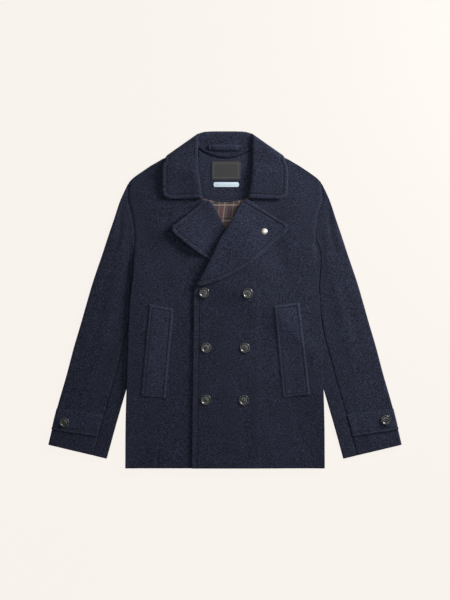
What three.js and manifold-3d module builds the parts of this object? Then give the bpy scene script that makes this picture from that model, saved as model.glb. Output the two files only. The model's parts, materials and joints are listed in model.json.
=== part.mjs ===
// A double-breasted wool pea coat laid flat on a table, front up, with its collar towards +Y.
// Millimetres, +Z up. The origin is on the table under the middle of the coat's outline.
// Left and right are the wearer's, so the left front, which laps over, is on the +X side.
import * as THREE from "three";
import { mergeVertices } from "three/addons/utils/BufferGeometryUtils.js";
import Module from "manifold-3d";

// Cloth
const CLOTH = 3; // one panel of heavy wool with its backing
const DOUBLE = 4; // collar and lapels: two cloths faced together
const SEAM = 0.4; // between two pieces that are sewn or lie on each other
const REST = 0.7; // under a collar leaf or lapel, which only rests on the front
const SLACK = 0.5; // between back and front where they bend together
const AIR = 1.2; // extra room between back and front, away from the seams
const SLEEVE = 6.4; // a flattened sleeve where the body lies on it
const TUCK_SLOPE = 92; // how far in the back lies raised by the sleeve tucked under it
const FULL = 2; // how much fuller the sleeve is where it lies free

// Sizes of the small pieces
const BUTTON = { radius: 13, height: 4.2, hole: 1.1, spread: 2.3 };
const CUFF_BUTTON = { radius: 12, height: 4, hole: 1.05, spread: 2.1 };
const STUD = { radius: 7.6, height: 5.2 };
const WELT = 2.2;
const WELT_REST = { left: 1.7, right: 0.8 }; // under each welt, on the bend of its front
const TAB = 2.2;
const LOOP = { width: 79, depth: 14, thick: 1.6, y: 373 };
const LABEL = { width: 70, depth: 45, thick: 0.7, x: 2.5, y: 317.5 };
const SIZE_TAG = { width: 63, depth: 12, thick: 0.6, x: 3, y: 283 };

// Turns rows of numbers into objects with named columns
function table(names, rows) {
  return rows.map((row) => Object.fromEntries(names.map((name, i) => [name, row[i]])));
}

// Body: one row for each level from hem to shoulder. The inner end is the front edge, then the fold
// of the lapel, then the neck; the outer end is the side, then the armhole.
const HEM_Y = -412;
const BODY = table(["innerX", "innerY", "outerX", "outerY"], [
  [-80.6, HEM_Y, 245, HEM_Y],
  [-79.2, -300, 244, -300],
  [-77.6, -180, 240.5, -180],
  [-76.2, -70, 236.5, -70],
  [-75, 12, 233, 0],
  [-69, 36, 230.5, 22],
  [-50, 68, 226.5, 52],
  [-34, 98, 224, 80],
  [-12, 147, 223.4, 118],
  [5, 174, 223, 143],
  [16, 191, 223.7, 160],
  [36, 234, 226.4, 195],
  [57.5, 247.5, 229.2, 213],
  [71, 262, 233, 225],
  [74.5, 295, 238, 243],
  [76.5, 335, 239.2, 264],
  [77, 378, 236.3, 288],
]);
const NECK = { x: 77, y: 378, backY: 347 };

// Shoulder line, from the neck out to the top of the armhole. The collar hides its first half.
const SHOULDER = table(["x", "y"], [
  [77, 378], [100, 366], [120, 354], [140, 343.5], [153, 345],
  [167, 337.6], [184, 328], [198.5, 318.3], [213, 308.5], [226, 298.6], [236.3, 288],
]);

// Sleeve: one row for each section from cuff to armhole. The inner end is tucked under the body.
const SLEEVES = table(["innerX", "innerY", "outerX", "outerY"], [
  [290, -388.6, 433.7, -354],
  [267, -305, 413, -268],
  [243.8, -225, 389, -184],
  [228.5, -170, 371, -116],
  [215, -120, 354.5, -60],
  [206.5, -78, 340, -9],
  [204, -38, 326, 39],
  [205, 2, 313, 78],
  [211, 38, 300, 116],
  [219, 60, 287, 156],
  [227, 77, 272, 200],
  [226.6, 92, 257, 245],
  [225.2, 106, 236.8, 288.4],
]);

// Armhole seam, from the underarm up to the shoulder
const ARMHOLE = table(["share", "x", "y"], [
  [0, 225.2, 106], [0.16, 223.6, 135], [0.34, 224.2, 168], [0.44, 225.8, 185],
  [0.58, 229.8, 211], [0.72, 236, 235], [0.8, 239.4, 248], [0.9, 239.8, 267], [1, 236.8, 288.4],
]);

// Lapels: one row for each line across from the fold to the outer edge, gorge first
const LAPEL_LEFT = table(["foldX", "foldY", "edgeX", "edgeY"], [
  [53, 245.5, 138, 194.5],
  [48, 242, 148, 188],
  [41, 236, 152.5, 181],
  [34, 226, 151.5, 173.5],
  [24, 207, 143, 163],
  [10, 181, 124, 146],
  [-12, 147, 87, 112.5],
  [-28, 112, 49, 82],
  [-41, 85, 5, 57.5],
  [-54, 61, -36, 41.5],
  [-67, 38.5, -63, 36],
]);
const LAPEL_RIGHT = table(["foldX", "foldY", "edgeX", "edgeY"], [
  [-51, 243, -113, 191],
  [-46, 243, -124, 184.5],
  [-38, 240, -129, 177],
  [-30, 230, -127.5, 168.5],
  [-20, 213, -118, 158.5],
  [-8, 191, -99, 143],
  [4, 168, -76, 125],
  [16, 138, -36, 98.5],
  [31, 105, 1, 74],
  [47, 73, 36, 51.5],
  [65, 41, 61, 38.5],
]);

// Collar: one row for each line across from neck seam through roll to outer edge, on the left side
// from the gorge to the middle of the back. level says where the leaf lies: 1 on the fronts, 0 on
// the turn round the shoulder, -1 under the back.
const COLLAR = table(["neckX", "neckY", "rollX", "rollY", "edgeX", "edgeY", "level"], [
  [64, 256, 57, 251, 135, 248.5, 1],
  [67.5, 267, 59, 262, 147.5, 255, 1],
  [70, 281, 61, 278, 151.5, 266, 1],
  [72.5, 305, 65.5, 308, 152.5, 295, 1],
  [74.3, 332, 67, 345, 152, 322, 1],
  [74.9, 353, 68, 375, 150.5, 332, 1],
  [74.9, 369, 68.3, 396.5, 147, 338.5, 1],
  [74, 377.2, 67.8, 402.6, 143, 346.6, 0.7],
  [71.5, 376, 66.6, 405.8, 138, 353, 0],
  [67.5, 373.2, 64.2, 406.5, 133.5, 353.4, -0.7],
  [62, 369.3, 59.5, 408.5, 129, 350.5, -1],
  [50, 362.2, 47, 411.2, 106, 337.5, -1],
  [28, 353, 25, 412, 55, 330, -1],
  [0, 348.5, 0, 412, 0, 327, -1],
]);

// Pocket welts: corners on the left and right front
const WELTS = {
  left: table(["x", "y"], [[118.8, -14.7], [182, -6], [208.7, -232.8], [140.9, -241.3]]),
  right: table(["x", "y"], [[-126.2, -22.5], [-185.7, -10.5], [-207, -235.9], [-146, -242.1]]),
};

const BUTTONS = table(["name", "x", "y"], [
  ["button_1", -51, 17.6], ["button_2", -46.3, -117], ["button_3", -47, -244.3],
  ["button_4", 55.9, 16.2], ["button_5", 48.8, -117], ["button_6", 46.3, -245.7],
]);
const CUFF_BUTTONS = table(["name", "side", "x", "y"], [
  ["cuff_button_left", 1, 393.7, -293.5], ["cuff_button_right", -1, -393.4, -299.4],
]);
const STUD_AT = { x: 96.3, y: 167.8 };

// Sleeve seams, as shares of the sleeve's width from its inner edge
const FRONT_SEAM = 0.23;
const ELBOW_SEAM = 0.2;

// Cuff tab, in sleeve rows from the cuff, at the seam and at the outer edge
const TAB_ROWS = { seamLow: 0.54, seamHigh: 1.16, edgeLow: 0.43, edgeHigh: 1.02 };

const clamp = (value) => Math.min(1, Math.max(0, value));
const mix = (a, b, share) => a + (b - a) * share;

// Rises softly from 0 to 1 while value goes from one place to another
function ramp(value, from, to) {
  const share = clamp((value - from) / (to - from));
  return share * share * (3 - 2 * share);
}

// A smooth curve through one column of a table, read at a place in another column
function through(rows, along, column) {
  const at = rows.map((row) => row[along]);
  const values = rows.map((row) => row[column]);
  const last = at.length - 1;
  const slope = (i) => {
    const before = Math.max(0, i - 1);
    const after = Math.min(last, i + 1);
    return (values[after] - values[before]) / (at[after] - at[before]);
  };
  return (place) => {
    const p = Math.min(at[last], Math.max(at[0], place));
    let i = 0;
    while (i < last - 1 && p > at[i + 1]) i += 1;
    const span = at[i + 1] - at[i];
    const t = (p - at[i]) / span;
    const a = values[i];
    const b = values[i + 1];
    const startPull = slope(i) * span;
    const endPull = slope(i + 1) * span;
    return (
      (2 * t ** 3 - 3 * t ** 2 + 1) * a +
      (t ** 3 - 2 * t ** 2 + t) * startPull +
      (3 * t ** 2 - 2 * t ** 3) * b +
      (t ** 3 - t ** 2) * endPull
    );
  };
}

// The same, with every column at once and the place counted in rows
function alongRows(rows) {
  const counted = rows.map((row, i) => ({ ...row, order: i }));
  const columns = Object.keys(rows[0]).map((name) => [name, through(counted, "order", name)]);
  return (order) => Object.fromEntries(columns.map(([name, read]) => [name, read(order)]));
}

const bodyRow = alongRows(BODY);
const sleeveRow = alongRows(SLEEVES);
const sideX = through(BODY, "outerY", "outerX");
const frontEdgeX = through(BODY, "innerY", "innerX");
const shoulderY = through(SHOULDER, "x", "y");
const tuckX = through(SLEEVES.slice(0, 11), "innerY", "innerX");
const armholeX = through(ARMHOLE, "share", "x");
const armholeY = through(ARMHOLE, "share", "y");

// Heights of what lies on what. Each gives the z at a place on the table.

// The back lies on the tucked part of the sleeves and on the turned-down collar.
function backLow(x, y) {
  const across = Math.abs(x);
  const tuck = tuckX(y);
  const onSleeve = ramp(across, tuck - TUCK_SLOPE, tuck - 3) * (1 - ramp(y, 78, 150));
  const fallY = 327 + 20 * (across / 135) ** 2;
  const onCollar = ramp(y, fallY - 86, fallY - 14) * (1 - ramp(across, 150, 205));
  return onSleeve * (SLEEVE + 2 * SEAM) + onCollar * (DOUBLE + REST);
}

function backHigh(x, y) {
  return backLow(x, y) + CLOTH;
}

// The fronts stand a little off the back, but meet it at the side and shoulder seams.
function frontLow(x, y) {
  const across = Math.abs(x);
  const fromSide = 1 - ramp(across, sideX(y) - 60, sideX(y) - 8);
  const fromShoulder = across < NECK.x ? 1 : 1 - ramp(y, shoulderY(across) - 60, shoulderY(across) - 8);
  return backHigh(x, y) + SEAM + SLACK + AIR * fromSide * fromShoulder;
}

function rightFrontHigh(x, y) {
  return frontLow(x, y) + CLOTH;
}

// Signed distance into the triangle where the left front lies on the right lapel
const CROSSING = table(["x", "y"], [[-36, 98], [2, 184], [68, 34]]);
function intoCrossing(x, y) {
  const sides = CROSSING.map((from, i) => {
    const to = CROSSING[(i + 1) % CROSSING.length];
    const length = Math.hypot(to.x - from.x, to.y - from.y);
    return ((to.y - from.y) * (x - from.x) - (to.x - from.x) * (y - from.y)) / length;
  });
  return Math.min(...sides);
}

// The left front laps over the right one and over the foot of its lapel.
function leftFrontLow(x, y) {
  const edge = -frontEdgeX(y);
  const onFront = (1 - ramp(x, edge + 12, edge + 100)) * (1 - ramp(y, 215, 275));
  const onLapel = ramp(intoCrossing(x, y), -92, -22);
  return frontLow(x, y) + (CLOTH + SEAM) * onFront + (DOUBLE + REST + SEAM) * onLapel;
}

function leftFrontHigh(x, y) {
  return leftFrontLow(x, y) + CLOTH;
}

const FRONT_HIGH = { left: leftFrontHigh, right: rightFrontHigh };

// A closed wall between two grids of points, one for each face. At a free edge the rim is rounded.
function wall(faceA, faceB, free = {}) {
  const rows = faceA.length;
  const columns = faceA[0].length;
  const corners = [...faceA.flat(), ...faceB.flat()];
  const at = (i, j) => i * columns + j;
  const far = rows * columns;
  const triangles = [];
  for (let i = 0; i < rows - 1; i += 1)
    for (let j = 0; j < columns - 1; j += 1) {
      const [a, b, c, d] = [at(i, j), at(i, j + 1), at(i + 1, j + 1), at(i + 1, j)];
      triangles.push([a, b, c], [a, c, d], [far + a, far + c, far + b], [far + a, far + d, far + c]);
    }
  const rim = [];
  for (let j = 0; j < columns - 1; j += 1) rim.push([0, j, "first"]);
  for (let i = 0; i < rows - 1; i += 1) rim.push([i, columns - 1, "end"]);
  for (let j = columns - 1; j > 0; j -= 1) rim.push([rows - 1, j, "last"]);
  for (let i = rows - 1; i > 0; i -= 1) rim.push([i, 0, "start"]);
  const middle = (i, j) => faceA[i][j].clone().lerp(faceB[i][j], 0.5);
  const first = corners.length;
  rim.forEach(([i, j, side], k) => {
    const before = rim[(k + rim.length - 1) % rim.length][2];
    const inside = middle(
      Math.min(rows - 2, Math.max(1, i)),
      Math.min(columns - 2, Math.max(1, j)),
    );
    const out = middle(i, j).sub(inside).normalize();
    const thick = faceA[i][j].distanceTo(faceB[i][j]);
    const bulge = free[side] && free[before] ? thick * 0.3 : 0;
    corners.push(middle(i, j).addScaledVector(out, bulge));
  });
  rim.forEach(([i, j], k) => {
    const next = (k + 1) % rim.length;
    const [ni, nj] = rim[next];
    const [a, b, m, n] = [at(i, j), at(ni, nj), first + k, first + next];
    triangles.push([b, a, m], [b, m, n], [n, m, far + a], [n, far + a, far + b]);
  });
  return closed(corners, triangles);
}

// Points and triangles as a geometry whose faces point out
function closed(corners, triangles) {
  const volume = triangles.reduce((sum, [a, b, c]) => {
    const turned = corners[b].clone().cross(corners[c]);
    return sum + corners[a].dot(turned);
  }, 0);
  const facing = volume < 0 ? triangles.map(([a, b, c]) => [a, c, b]) : triangles;
  const geometry = new THREE.BufferGeometry();
  geometry.setAttribute("position", new THREE.Float32BufferAttribute(corners.flatMap((p) => [...p]), 3));
  geometry.setIndex(facing.flat());
  return geometry;
}

// A wall over a grid of places on the table, between two heights
function layer(places, low, high, free) {
  const face = (height) =>
    places.map((row) => row.map(({ x, y }) => new THREE.Vector3(x, y, height(x, y))));
  return wall(face(low), face(high), free);
}

// A wall of one thickness about a grid of points
function shell(points, thickness, free) {
  const rows = points.length;
  const columns = points[0].length;
  const normals = points.map((row, i) =>
    row.map((_, j) => {
      const along = points[Math.min(rows - 1, i + 1)][j].clone().sub(points[Math.max(0, i - 1)][j]);
      const across = points[i][Math.min(columns - 1, j + 1)].clone().sub(points[i][Math.max(0, j - 1)]);
      return along.cross(across).normalize();
    }),
  );
  const face = (side) =>
    points.map((row, i) =>
      row.map((p, j) => p.clone().addScaledVector(normals[i][j], (side * thickness) / 2)),
    );
  return wall(face(1), face(-1), free);
}

// Shares from 0 to 1, closer together near the end that bends most
function shares(count, gather = 1) {
  return Array.from({ length: count + 1 }, (_, i) => 1 - (1 - i / count) ** gather);
}

// Back: one panel from hem to neckline and shoulders
function back() {
  const half = shares(10, 1.15);
  const across = [...half.slice(1).reverse().map((s) => -s), ...half];
  const topY = (x) => {
    if (Math.abs(x) < NECK.x) return mix(NECK.backY, NECK.y, (x / NECK.x) ** 2) - 1;
    return shoulderY(Math.abs(x));
  };
  const tip = BODY.at(-1);
  const places = shares(22, 1.35).map((v) => {
    const edge = sideX(mix(HEM_Y, tip.outerY, v)) - SEAM;
    return across.map((u) => ({ x: u * edge, y: mix(HEM_Y, topY(u * tip.outerX), v) }));
  });
  return layer(places, backLow, backHigh, { first: true });
}

// Front: from its edge, lapel fold and neck to the side and armhole. side is 1 on the left.
function front(side) {
  const last = BODY.length - 1;
  const places = shares(26).map((v) => {
    const row = bodyRow(v * last);
    return shares(14, 1.2).map((u) => {
      const x = mix(row.innerX, row.outerX - SEAM, u);
      const y = mix(row.innerY, row.outerY, u);
      const arch = ramp(v * last, last - 2.5, last) * (shoulderY(x) - mix(NECK.y, BODY[last].outerY, u));
      return { x: side * x, y: y + arch };
    });
  });
  const low = side > 0 ? leftFrontLow : frontLow;
  const high = side > 0 ? leftFrontHigh : rightFrontHigh;
  return layer(places, low, high, { first: true, start: true });
}

// Lapel: the facing folded out on the front, fuller along its fold
function lapel(rows, high) {
  const read = alongRows(rows);
  const across = shares(5);
  const places = shares(13).map((v) => {
    const row = read(v * (rows.length - 1));
    const width = Math.hypot(row.edgeX - row.foldX, row.edgeY - row.foldY);
    return across.map((u) => {
      const x = mix(row.foldX, row.edgeX, u);
      const y = mix(row.foldY, row.edgeY, u);
      const pressed = high === leftFrontHigh ? 0 : ramp(intoCrossing(x, y), -40, -15);
      return { x, y, roll: (1 - ramp(u * width, 0, 26)) * (1 - pressed) };
    });
  });
  const low = (x, y) => high(x, y) + REST;
  const faceLow = places.map((row) => row.map((p) => new THREE.Vector3(p.x, p.y, low(p.x, p.y))));
  const faceHigh = places.map((row) =>
    row.map((p) => new THREE.Vector3(p.x, p.y, low(p.x, p.y) + DOUBLE + 1.6 * p.roll)),
  );
  return wall(faceLow, faceHigh, { first: true, end: true, last: true, start: true });
}

// Collar: one strip from leaf to leaf, round the back of the neck
function collar() {
  const half = DOUBLE / 2;
  const last = COLLAR.length - 1;
  const read = alongRows(COLLAR);
  const steps = Array.from({ length: 18 }, (_, i) => (i * last) / 18);
  const line = (order, side) => {
    const row = read(order);
    const high = side > 0 ? leftFrontHigh : rightFrontHigh;
    const top = (x, y) => high(side * x, y) + REST + SLACK + half + 0.15;
    const on = (1 + row.level) / 2;
    const leafZ = (x, y) => mix(half, top(x, y), on);
    const roll = { x: row.rollX, y: row.rollY, z: leafZ(row.rollX, row.rollY) };
    const frontNeckZ = high(side * NECK.x, row.neckY) - CLOTH / 2;
    const backNeckZ = DOUBLE + REST + half + 0.2;
    const neckZ = mix(backNeckZ, frontNeckZ, on);
    const standZ = mix(backNeckZ + 2.2, frontNeckZ + 0.2, on);
    const turnZ = (standZ + roll.z) / 2;
    const toEdge = new THREE.Vector2(row.edgeX - roll.x, row.edgeY - roll.y).normalize();
    const toNeck = new THREE.Vector2(row.neckX - roll.x, row.neckY - roll.y).normalize();
    const beside = (way, distance, z) => [roll.x + way.x * distance, roll.y + way.y * distance, z];
    const neckWay = Math.hypot(row.neckX - roll.x, row.neckY - roll.y);
    const stand = [
      [row.neckX, row.neckY, neckZ],
      beside(toNeck, neckWay * 0.55, mix(neckZ, standZ, 0.5)),
      beside(toNeck, Math.min(4.5, neckWay * 0.28), standZ),
      [roll.x, roll.y, turnZ],
      beside(toEdge, 4, mix(turnZ, roll.z, 0.86)),
    ];
    const leaf = [0.13, 0.33, 0.56, 0.79, 1].map((u) => {
      const x = mix(row.rollX, row.edgeX, u);
      const y = mix(row.rollY, row.edgeY, u);
      return [x, y, leafZ(x, y)];
    });
    return [...stand, ...leaf].map(([x, y, z]) => new THREE.Vector3(side * x, y, z));
  };
  const leftLines = steps.map((order) => line(order, 1));
  const rightLines = steps.map((order) => line(order, -1)).reverse();
  return shell([...leftLines, line(last, 1), ...rightLines], DOUBLE, { end: true });
}

// Inside of the back neck: the wool facing, and the lining below it as far as it shows
function neckFacing() {
  const lowerY = (x) => 242 + 13 * (x / 62) ** 2;
  const places = shares(9).map((v) =>
    shares(8).map((u) => {
      const x = mix(-64.5, 64.5, u);
      const upperY = mix(NECK.backY, NECK.y, (x / NECK.x) ** 2) - 2;
      return { x, y: mix(lowerY(x), upperY, v) };
    }),
  );
  const low = (x, y) => backHigh(x, y) + SEAM;
  return layer(places, low, (x, y) => low(x, y) + 1, { first: true });
}

function backLining() {
  const places = shares(6).map((v) =>
    shares(6).map((u) => {
      const x = mix(mix(-2, -58, v), mix(14, 60, v), u);
      return { x, y: mix(160, 240.5 + 13 * (x / 62) ** 2, v) };
    }),
  );
  const low = (x, y) => backHigh(x, y) + SEAM;
  return layer(places, low, (x, y) => low(x, y) + 0.9);
}

// A place on a flattened sleeve. order counts rows from the cuff. turn goes round the sleeve: 0 to 1
// across the top from the inner edge, to 2 round the outer edge, to 3 back across the underside,
// to 4 round the inner edge. out moves it off the middle of the cloth.
function onSleeve(side, order, turn, out) {
  const row = sleeveRow(order);
  const last = SLEEVES.length - 1;
  const across = turn <= 1 ? turn : turn <= 2 ? 1 : turn <= 3 ? 3 - turn : 0;
  const free = ramp(across, 0.34, 0.62) * (1 - ramp(order, last - 1.8, last));
  const height = SLEEVE + FULL * free * (turn >= 2 ? 0 : 1);
  const outerHeight = SLEEVE + FULL * (1 - ramp(order, last - 1.8, last));
  const edgeHeight = turn >= 2 ? SLEEVE : outerHeight;
  const way = new THREE.Vector2(row.outerX - row.innerX, row.outerY - row.innerY);
  const width = way.length();
  way.normalize();
  const inset = mix(SLEEVE, outerHeight, across) / 2;
  const from = SLEEVE / 2;
  const to = width - outerHeight / 2;
  const along = mix(from, to, across);
  const meet = ramp(order, last - 4, last) * Math.sign(row.outerX);
  const straight = mix(SLEEVES[last].innerX, SLEEVES[last].outerX, across);
  const straightY = mix(SLEEVES[last].innerY, SLEEVES[last].outerY, across);
  let x = row.innerX + way.x * along + meet * (armholeX(across) - straight);
  let y = row.innerY + way.y * along + meet * (armholeY(across) - straightY);
  let z = height - CLOTH / 2 + out;
  if (turn >= 2 && turn <= 3) z = CLOTH / 2 - out;
  if (turn > 1 && turn < 2) {
    const angle = Math.PI * (turn - 1);
    const radius = edgeHeight / 2 - CLOTH / 2 + out;
    x += way.x * Math.sin(angle) * (inset - CLOTH / 2 + out);
    y += way.y * Math.sin(angle) * (inset - CLOTH / 2 + out);
    z = edgeHeight / 2 + radius * Math.cos(angle);
  }
  if (turn > 3) {
    const angle = Math.PI * (turn - 3);
    const radius = SLEEVE / 2 - CLOTH / 2 + out;
    x -= way.x * Math.sin(angle) * radius;
    y -= way.y * Math.sin(angle) * radius;
    z = SLEEVE / 2 - radius * Math.cos(angle);
  }
  return new THREE.Vector3(side * x, y, z);
}

// A strip of a sleeve between two seams, with its cuff end free
function sleeveStrip(side, turns) {
  const orders = shares(14).map((v) => v * (SLEEVES.length - 1));
  const face = (out) => orders.map((order) => turns.map((turn) => onSleeve(side, order, turn, out)));
  return wall(face(CLOTH / 2), face(-CLOTH / 2), { first: true });
}

const QUARTERS = [0.25, 0.5, 0.75];
const seamShare = SEAM / 300;

// Top sleeve: from the front seam over the top, round the outer edge to the elbow seam underneath
function topSleeve(side) {
  const top = shares(7).map((u) => mix(FRONT_SEAM + seamShare, 1, u));
  const edge = QUARTERS.map((u) => 1 + u);
  const under = shares(2).map((u) => 2 + u * (ELBOW_SEAM - seamShare));
  return sleeveStrip(side, [...top, ...edge, ...under]);
}

// Under sleeve: from the front seam round the inner edge, across the underside to the elbow seam
function underSleeve(side) {
  const underside = shares(6).map((u) => mix(2 + ELBOW_SEAM + seamShare, 3, u));
  const edge = QUARTERS.map((u) => 3 + u);
  const top = shares(3).map((u) => u * (FRONT_SEAM - seamShare));
  const turns = [...underside, ...edge, ...top];
  return sleeveStrip(side, turns);
}

// Tab on the cuff: sewn in at the front seam, and turned round the outer edge
function cuffTab(side) {
  const turns = [...shares(8).map((u) => mix(FRONT_SEAM + 0.012, 1, u)), 1.18, 1.36];
  const gap = CLOTH / 2 + SEAM;
  const face = (out) =>
    shares(4).map((v) =>
      turns.map((turn) => {
        const across = clamp((turn - FRONT_SEAM) / (1 - FRONT_SEAM));
        const low = mix(TAB_ROWS.seamLow, TAB_ROWS.edgeLow, across);
        const high = mix(TAB_ROWS.seamHigh, TAB_ROWS.edgeHigh, across);
        return onSleeve(side, mix(low, high, v), turn, out);
      }),
    );
  return wall(face(gap + TAB), face(gap), { first: true, last: true });
}

// Welt: a stitched band on the front over the pocket's opening
function welt(corners, high, rest) {
  const [topInner, topOuter, lowOuter, lowInner] = corners;
  const places = shares(14).map((v) =>
    shares(5).map((u) => ({
      x: mix(mix(topInner.x, topOuter.x, u), mix(lowInner.x, lowOuter.x, u), v),
      y: mix(mix(topInner.y, topOuter.y, u), mix(lowInner.y, lowOuter.y, u), v),
    })),
  );
  const low = (x, y) => high(x, y) + rest;
  const free = { first: true, end: true, last: true, start: true };
  return layer(places, low, (x, y) => low(x, y) + WELT, free);
}

// A flat band or label, square to the coat, on a surface whose height is given
function patch(size, low) {
  const places = shares(2).map((v) =>
    shares(6).map((u) => ({
      x: size.x + (u - 0.5) * size.width,
      y: size.y + (v - 0.5) * size.depth,
    })),
  );
  return layer(places, low, (x, y) => low(x, y) + size.thick);
}

// The inside of the collar's stand at the back of the neck, which carries the hanger loop
function standHigh(x, y) {
  const neckZ = DOUBLE + REST + DOUBLE + 0.2;
  return neckZ + 2.3 * ramp(y, 350, 392) + 0.3;
}

const wasm = await Module();
wasm.setup();

// A three.js geometry as a solid that can be cut
function solid(geometry) {
  const bare = geometry.clone();
  bare.deleteAttribute("normal");
  bare.deleteAttribute("uv");
  const merged = mergeVertices(bare, 1e-4);
  return new wasm.Manifold(new wasm.Mesh({
    numProp: 3,
    vertProperties: merged.attributes.position.array,
    triVerts: new Uint32Array(merged.index.array),
  }));
}

// A solid back as a geometry
function geometryOf(made) {
  const { vertProperties, triVerts } = made.getMesh();
  const geometry = new THREE.BufferGeometry();
  geometry.setAttribute("position", new THREE.BufferAttribute(vertProperties, 3));
  geometry.setIndex(new THREE.BufferAttribute(triVerts, 1));
  return geometry;
}

// A body of revolution about +Z, from an outline of radius and height
function turned(outline, segments) {
  const points = outline.map(([radius, z]) => new THREE.Vector2(radius, z));
  return new THREE.LatheGeometry(points, segments).rotateX(Math.PI / 2);
}

// The height at which a round piece clears the cloth all round its rim
function seat(high, x, y, radius) {
  const round = shares(8).map((turn) => turn * 2 * Math.PI);
  const rim = round.map((angle) => high(x + radius * Math.cos(angle), y + radius * Math.sin(angle)));
  return Math.max(high(x, y), ...rim) + SEAM;
}

// Button: a dished disc with a raised rim and four sewing holes
function button({ radius, height, hole, spread }) {
  const disc = turned([
    [0, 0], [radius * 0.86, 0], [radius, height * 0.36], [radius * 0.97, height * 0.8],
    [radius * 0.84, height], [radius * 0.66, height * 0.78], [0, height * 0.62],
  ], 12);
  const corners = [[1, 1], [-1, 1], [-1, -1], [1, -1]];
  return geometryOf(corners.reduce((left, [sx, sy]) => {
    const drill = new THREE.CylinderGeometry(hole, hole, height * 3, 6);
    drill.rotateX(Math.PI / 2).translate(sx * spread, sy * spread, 0);
    return left.subtract(solid(drill));
  }, solid(disc)));
}

// Lapel stud: a plain domed metal head
function stud({ radius, height }) {
  return turned([
    [0, 0], [radius * 0.9, 0], [radius, height * 0.2], [radius * 0.95, height * 0.45],
    [radius * 0.7, height * 0.8], [radius * 0.35, height * 0.97], [0, height],
  ], 16);
}

const WOOL = new THREE.MeshStandardMaterial({ color: 0x232633, roughness: 0.95, metalness: 0 });
const LINING = new THREE.MeshStandardMaterial({ color: 0x4a3330, roughness: 0.7, metalness: 0 });
const HORN = new THREE.MeshStandardMaterial({ color: 0x2b2c2e, roughness: 0.3, metalness: 0 });
const WOVEN = new THREE.MeshStandardMaterial({ color: 0x3a3b3f, roughness: 0.8, metalness: 0 });
const TAG = new THREE.MeshStandardMaterial({ color: 0xcfe0e8, roughness: 0.7, metalness: 0 });
const BRASS = new THREE.MeshStandardMaterial({ color: 0xd8c9a0, roughness: 0.35, metalness: 1 });

const coat = new THREE.Group();
function add(name, geometry, material, x = 0, y = 0, z = 0) {
  const mesh = new THREE.Mesh(geometry, material);
  mesh.name = name;
  mesh.position.set(x, y, z);
  coat.add(mesh);
}

add("back", back(), WOOL);
add("collar", collar(), WOOL);
add("neck_facing", neckFacing(), WOOL);
add("back_lining", backLining(), LINING);
for (const [name, side, rows] of [["left", 1, LAPEL_LEFT], ["right", -1, LAPEL_RIGHT]]) {
  add(`front_${name}`, front(side), WOOL);
  add(`lapel_${name}`, lapel(rows, FRONT_HIGH[name]), WOOL);
  add(`top_sleeve_${name}`, topSleeve(side), WOOL);
  add(`under_sleeve_${name}`, underSleeve(side), WOOL);
  add(`cuff_tab_${name}`, cuffTab(side), WOOL);
  add(`pocket_welt_${name}`, welt(WELTS[name], FRONT_HIGH[name], WELT_REST[name]), WOOL);
}
for (const { name, x, y } of BUTTONS)
  add(name, button(BUTTON), HORN, x, y, seat(leftFrontHigh, x, y, BUTTON.radius));
for (const { name, x, y } of CUFF_BUTTONS)
  add(name, button(CUFF_BUTTON), HORN, x, y, SLEEVE + FULL + SEAM + TAB + SEAM);
add("hanger_loop", patch({ ...LOOP, x: 0.5 }, standHigh), WOOL);
const onFacing = (x, y) => backHigh(x, y) + SEAM + 1 + SEAM;
add("woven_label", patch(LABEL, onFacing), WOVEN);
add("size_tag", patch(SIZE_TAG, onFacing), TAG);
const studZ = seat(leftFrontHigh, STUD_AT.x, STUD_AT.y, STUD.radius) + REST + DOUBLE;
add("lapel_stud", stud(STUD), BRASS, STUD_AT.x, STUD_AT.y, studZ);

export default coat;
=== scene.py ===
import json
import math

import bpy
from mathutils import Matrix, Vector

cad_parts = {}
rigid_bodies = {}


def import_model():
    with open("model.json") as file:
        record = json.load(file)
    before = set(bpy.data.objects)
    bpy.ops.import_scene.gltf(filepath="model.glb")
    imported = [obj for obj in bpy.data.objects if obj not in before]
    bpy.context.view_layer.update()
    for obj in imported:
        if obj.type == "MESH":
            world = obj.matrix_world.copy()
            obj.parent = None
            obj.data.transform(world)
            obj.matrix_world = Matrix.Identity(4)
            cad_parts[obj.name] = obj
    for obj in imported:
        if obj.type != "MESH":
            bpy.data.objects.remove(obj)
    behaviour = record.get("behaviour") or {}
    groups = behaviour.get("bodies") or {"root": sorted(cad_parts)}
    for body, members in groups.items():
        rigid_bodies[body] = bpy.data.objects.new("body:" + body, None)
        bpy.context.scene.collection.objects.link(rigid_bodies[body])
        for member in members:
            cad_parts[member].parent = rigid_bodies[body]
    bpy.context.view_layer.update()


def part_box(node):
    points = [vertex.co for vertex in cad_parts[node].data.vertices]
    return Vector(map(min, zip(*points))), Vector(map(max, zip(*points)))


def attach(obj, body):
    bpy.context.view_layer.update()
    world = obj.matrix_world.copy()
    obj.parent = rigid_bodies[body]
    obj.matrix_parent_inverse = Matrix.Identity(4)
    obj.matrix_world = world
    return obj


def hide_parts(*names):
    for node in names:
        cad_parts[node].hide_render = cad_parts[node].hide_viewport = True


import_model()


# The back. One panel of heavy navy melton, laid right side down under the whole coat. Its middle rests
# on the table; at the sides it lies over the tucked sleeves, and at the top over the turned-down collar.
# Lengths in the tables and height functions are millimetres, as in the pattern; MM makes them metres.
MM = 0.001
CLOTH = 3.0
SEAM = 0.4
SLEEVE = 6.4
TUCK_SLOPE = 92.0
COLLAR_CLOTH = 4.0
REST = 0.7
HEM_Y = -412.0


def table(names, *rows):
    """Rows of numbers as named columns."""
    return {name: [row[i] for row in rows] for i, name in enumerate(names.split())}


def clamp(value):
    return min(1.0, max(0.0, value))


def mix(a, b, share):
    return a + (b - a) * share


def ramp(value, low, high):
    """Rises softly from 0 to 1 while value goes from low to high."""
    share = clamp((value - low) / (high - low))
    return share * share * (3 - 2 * share)


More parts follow.
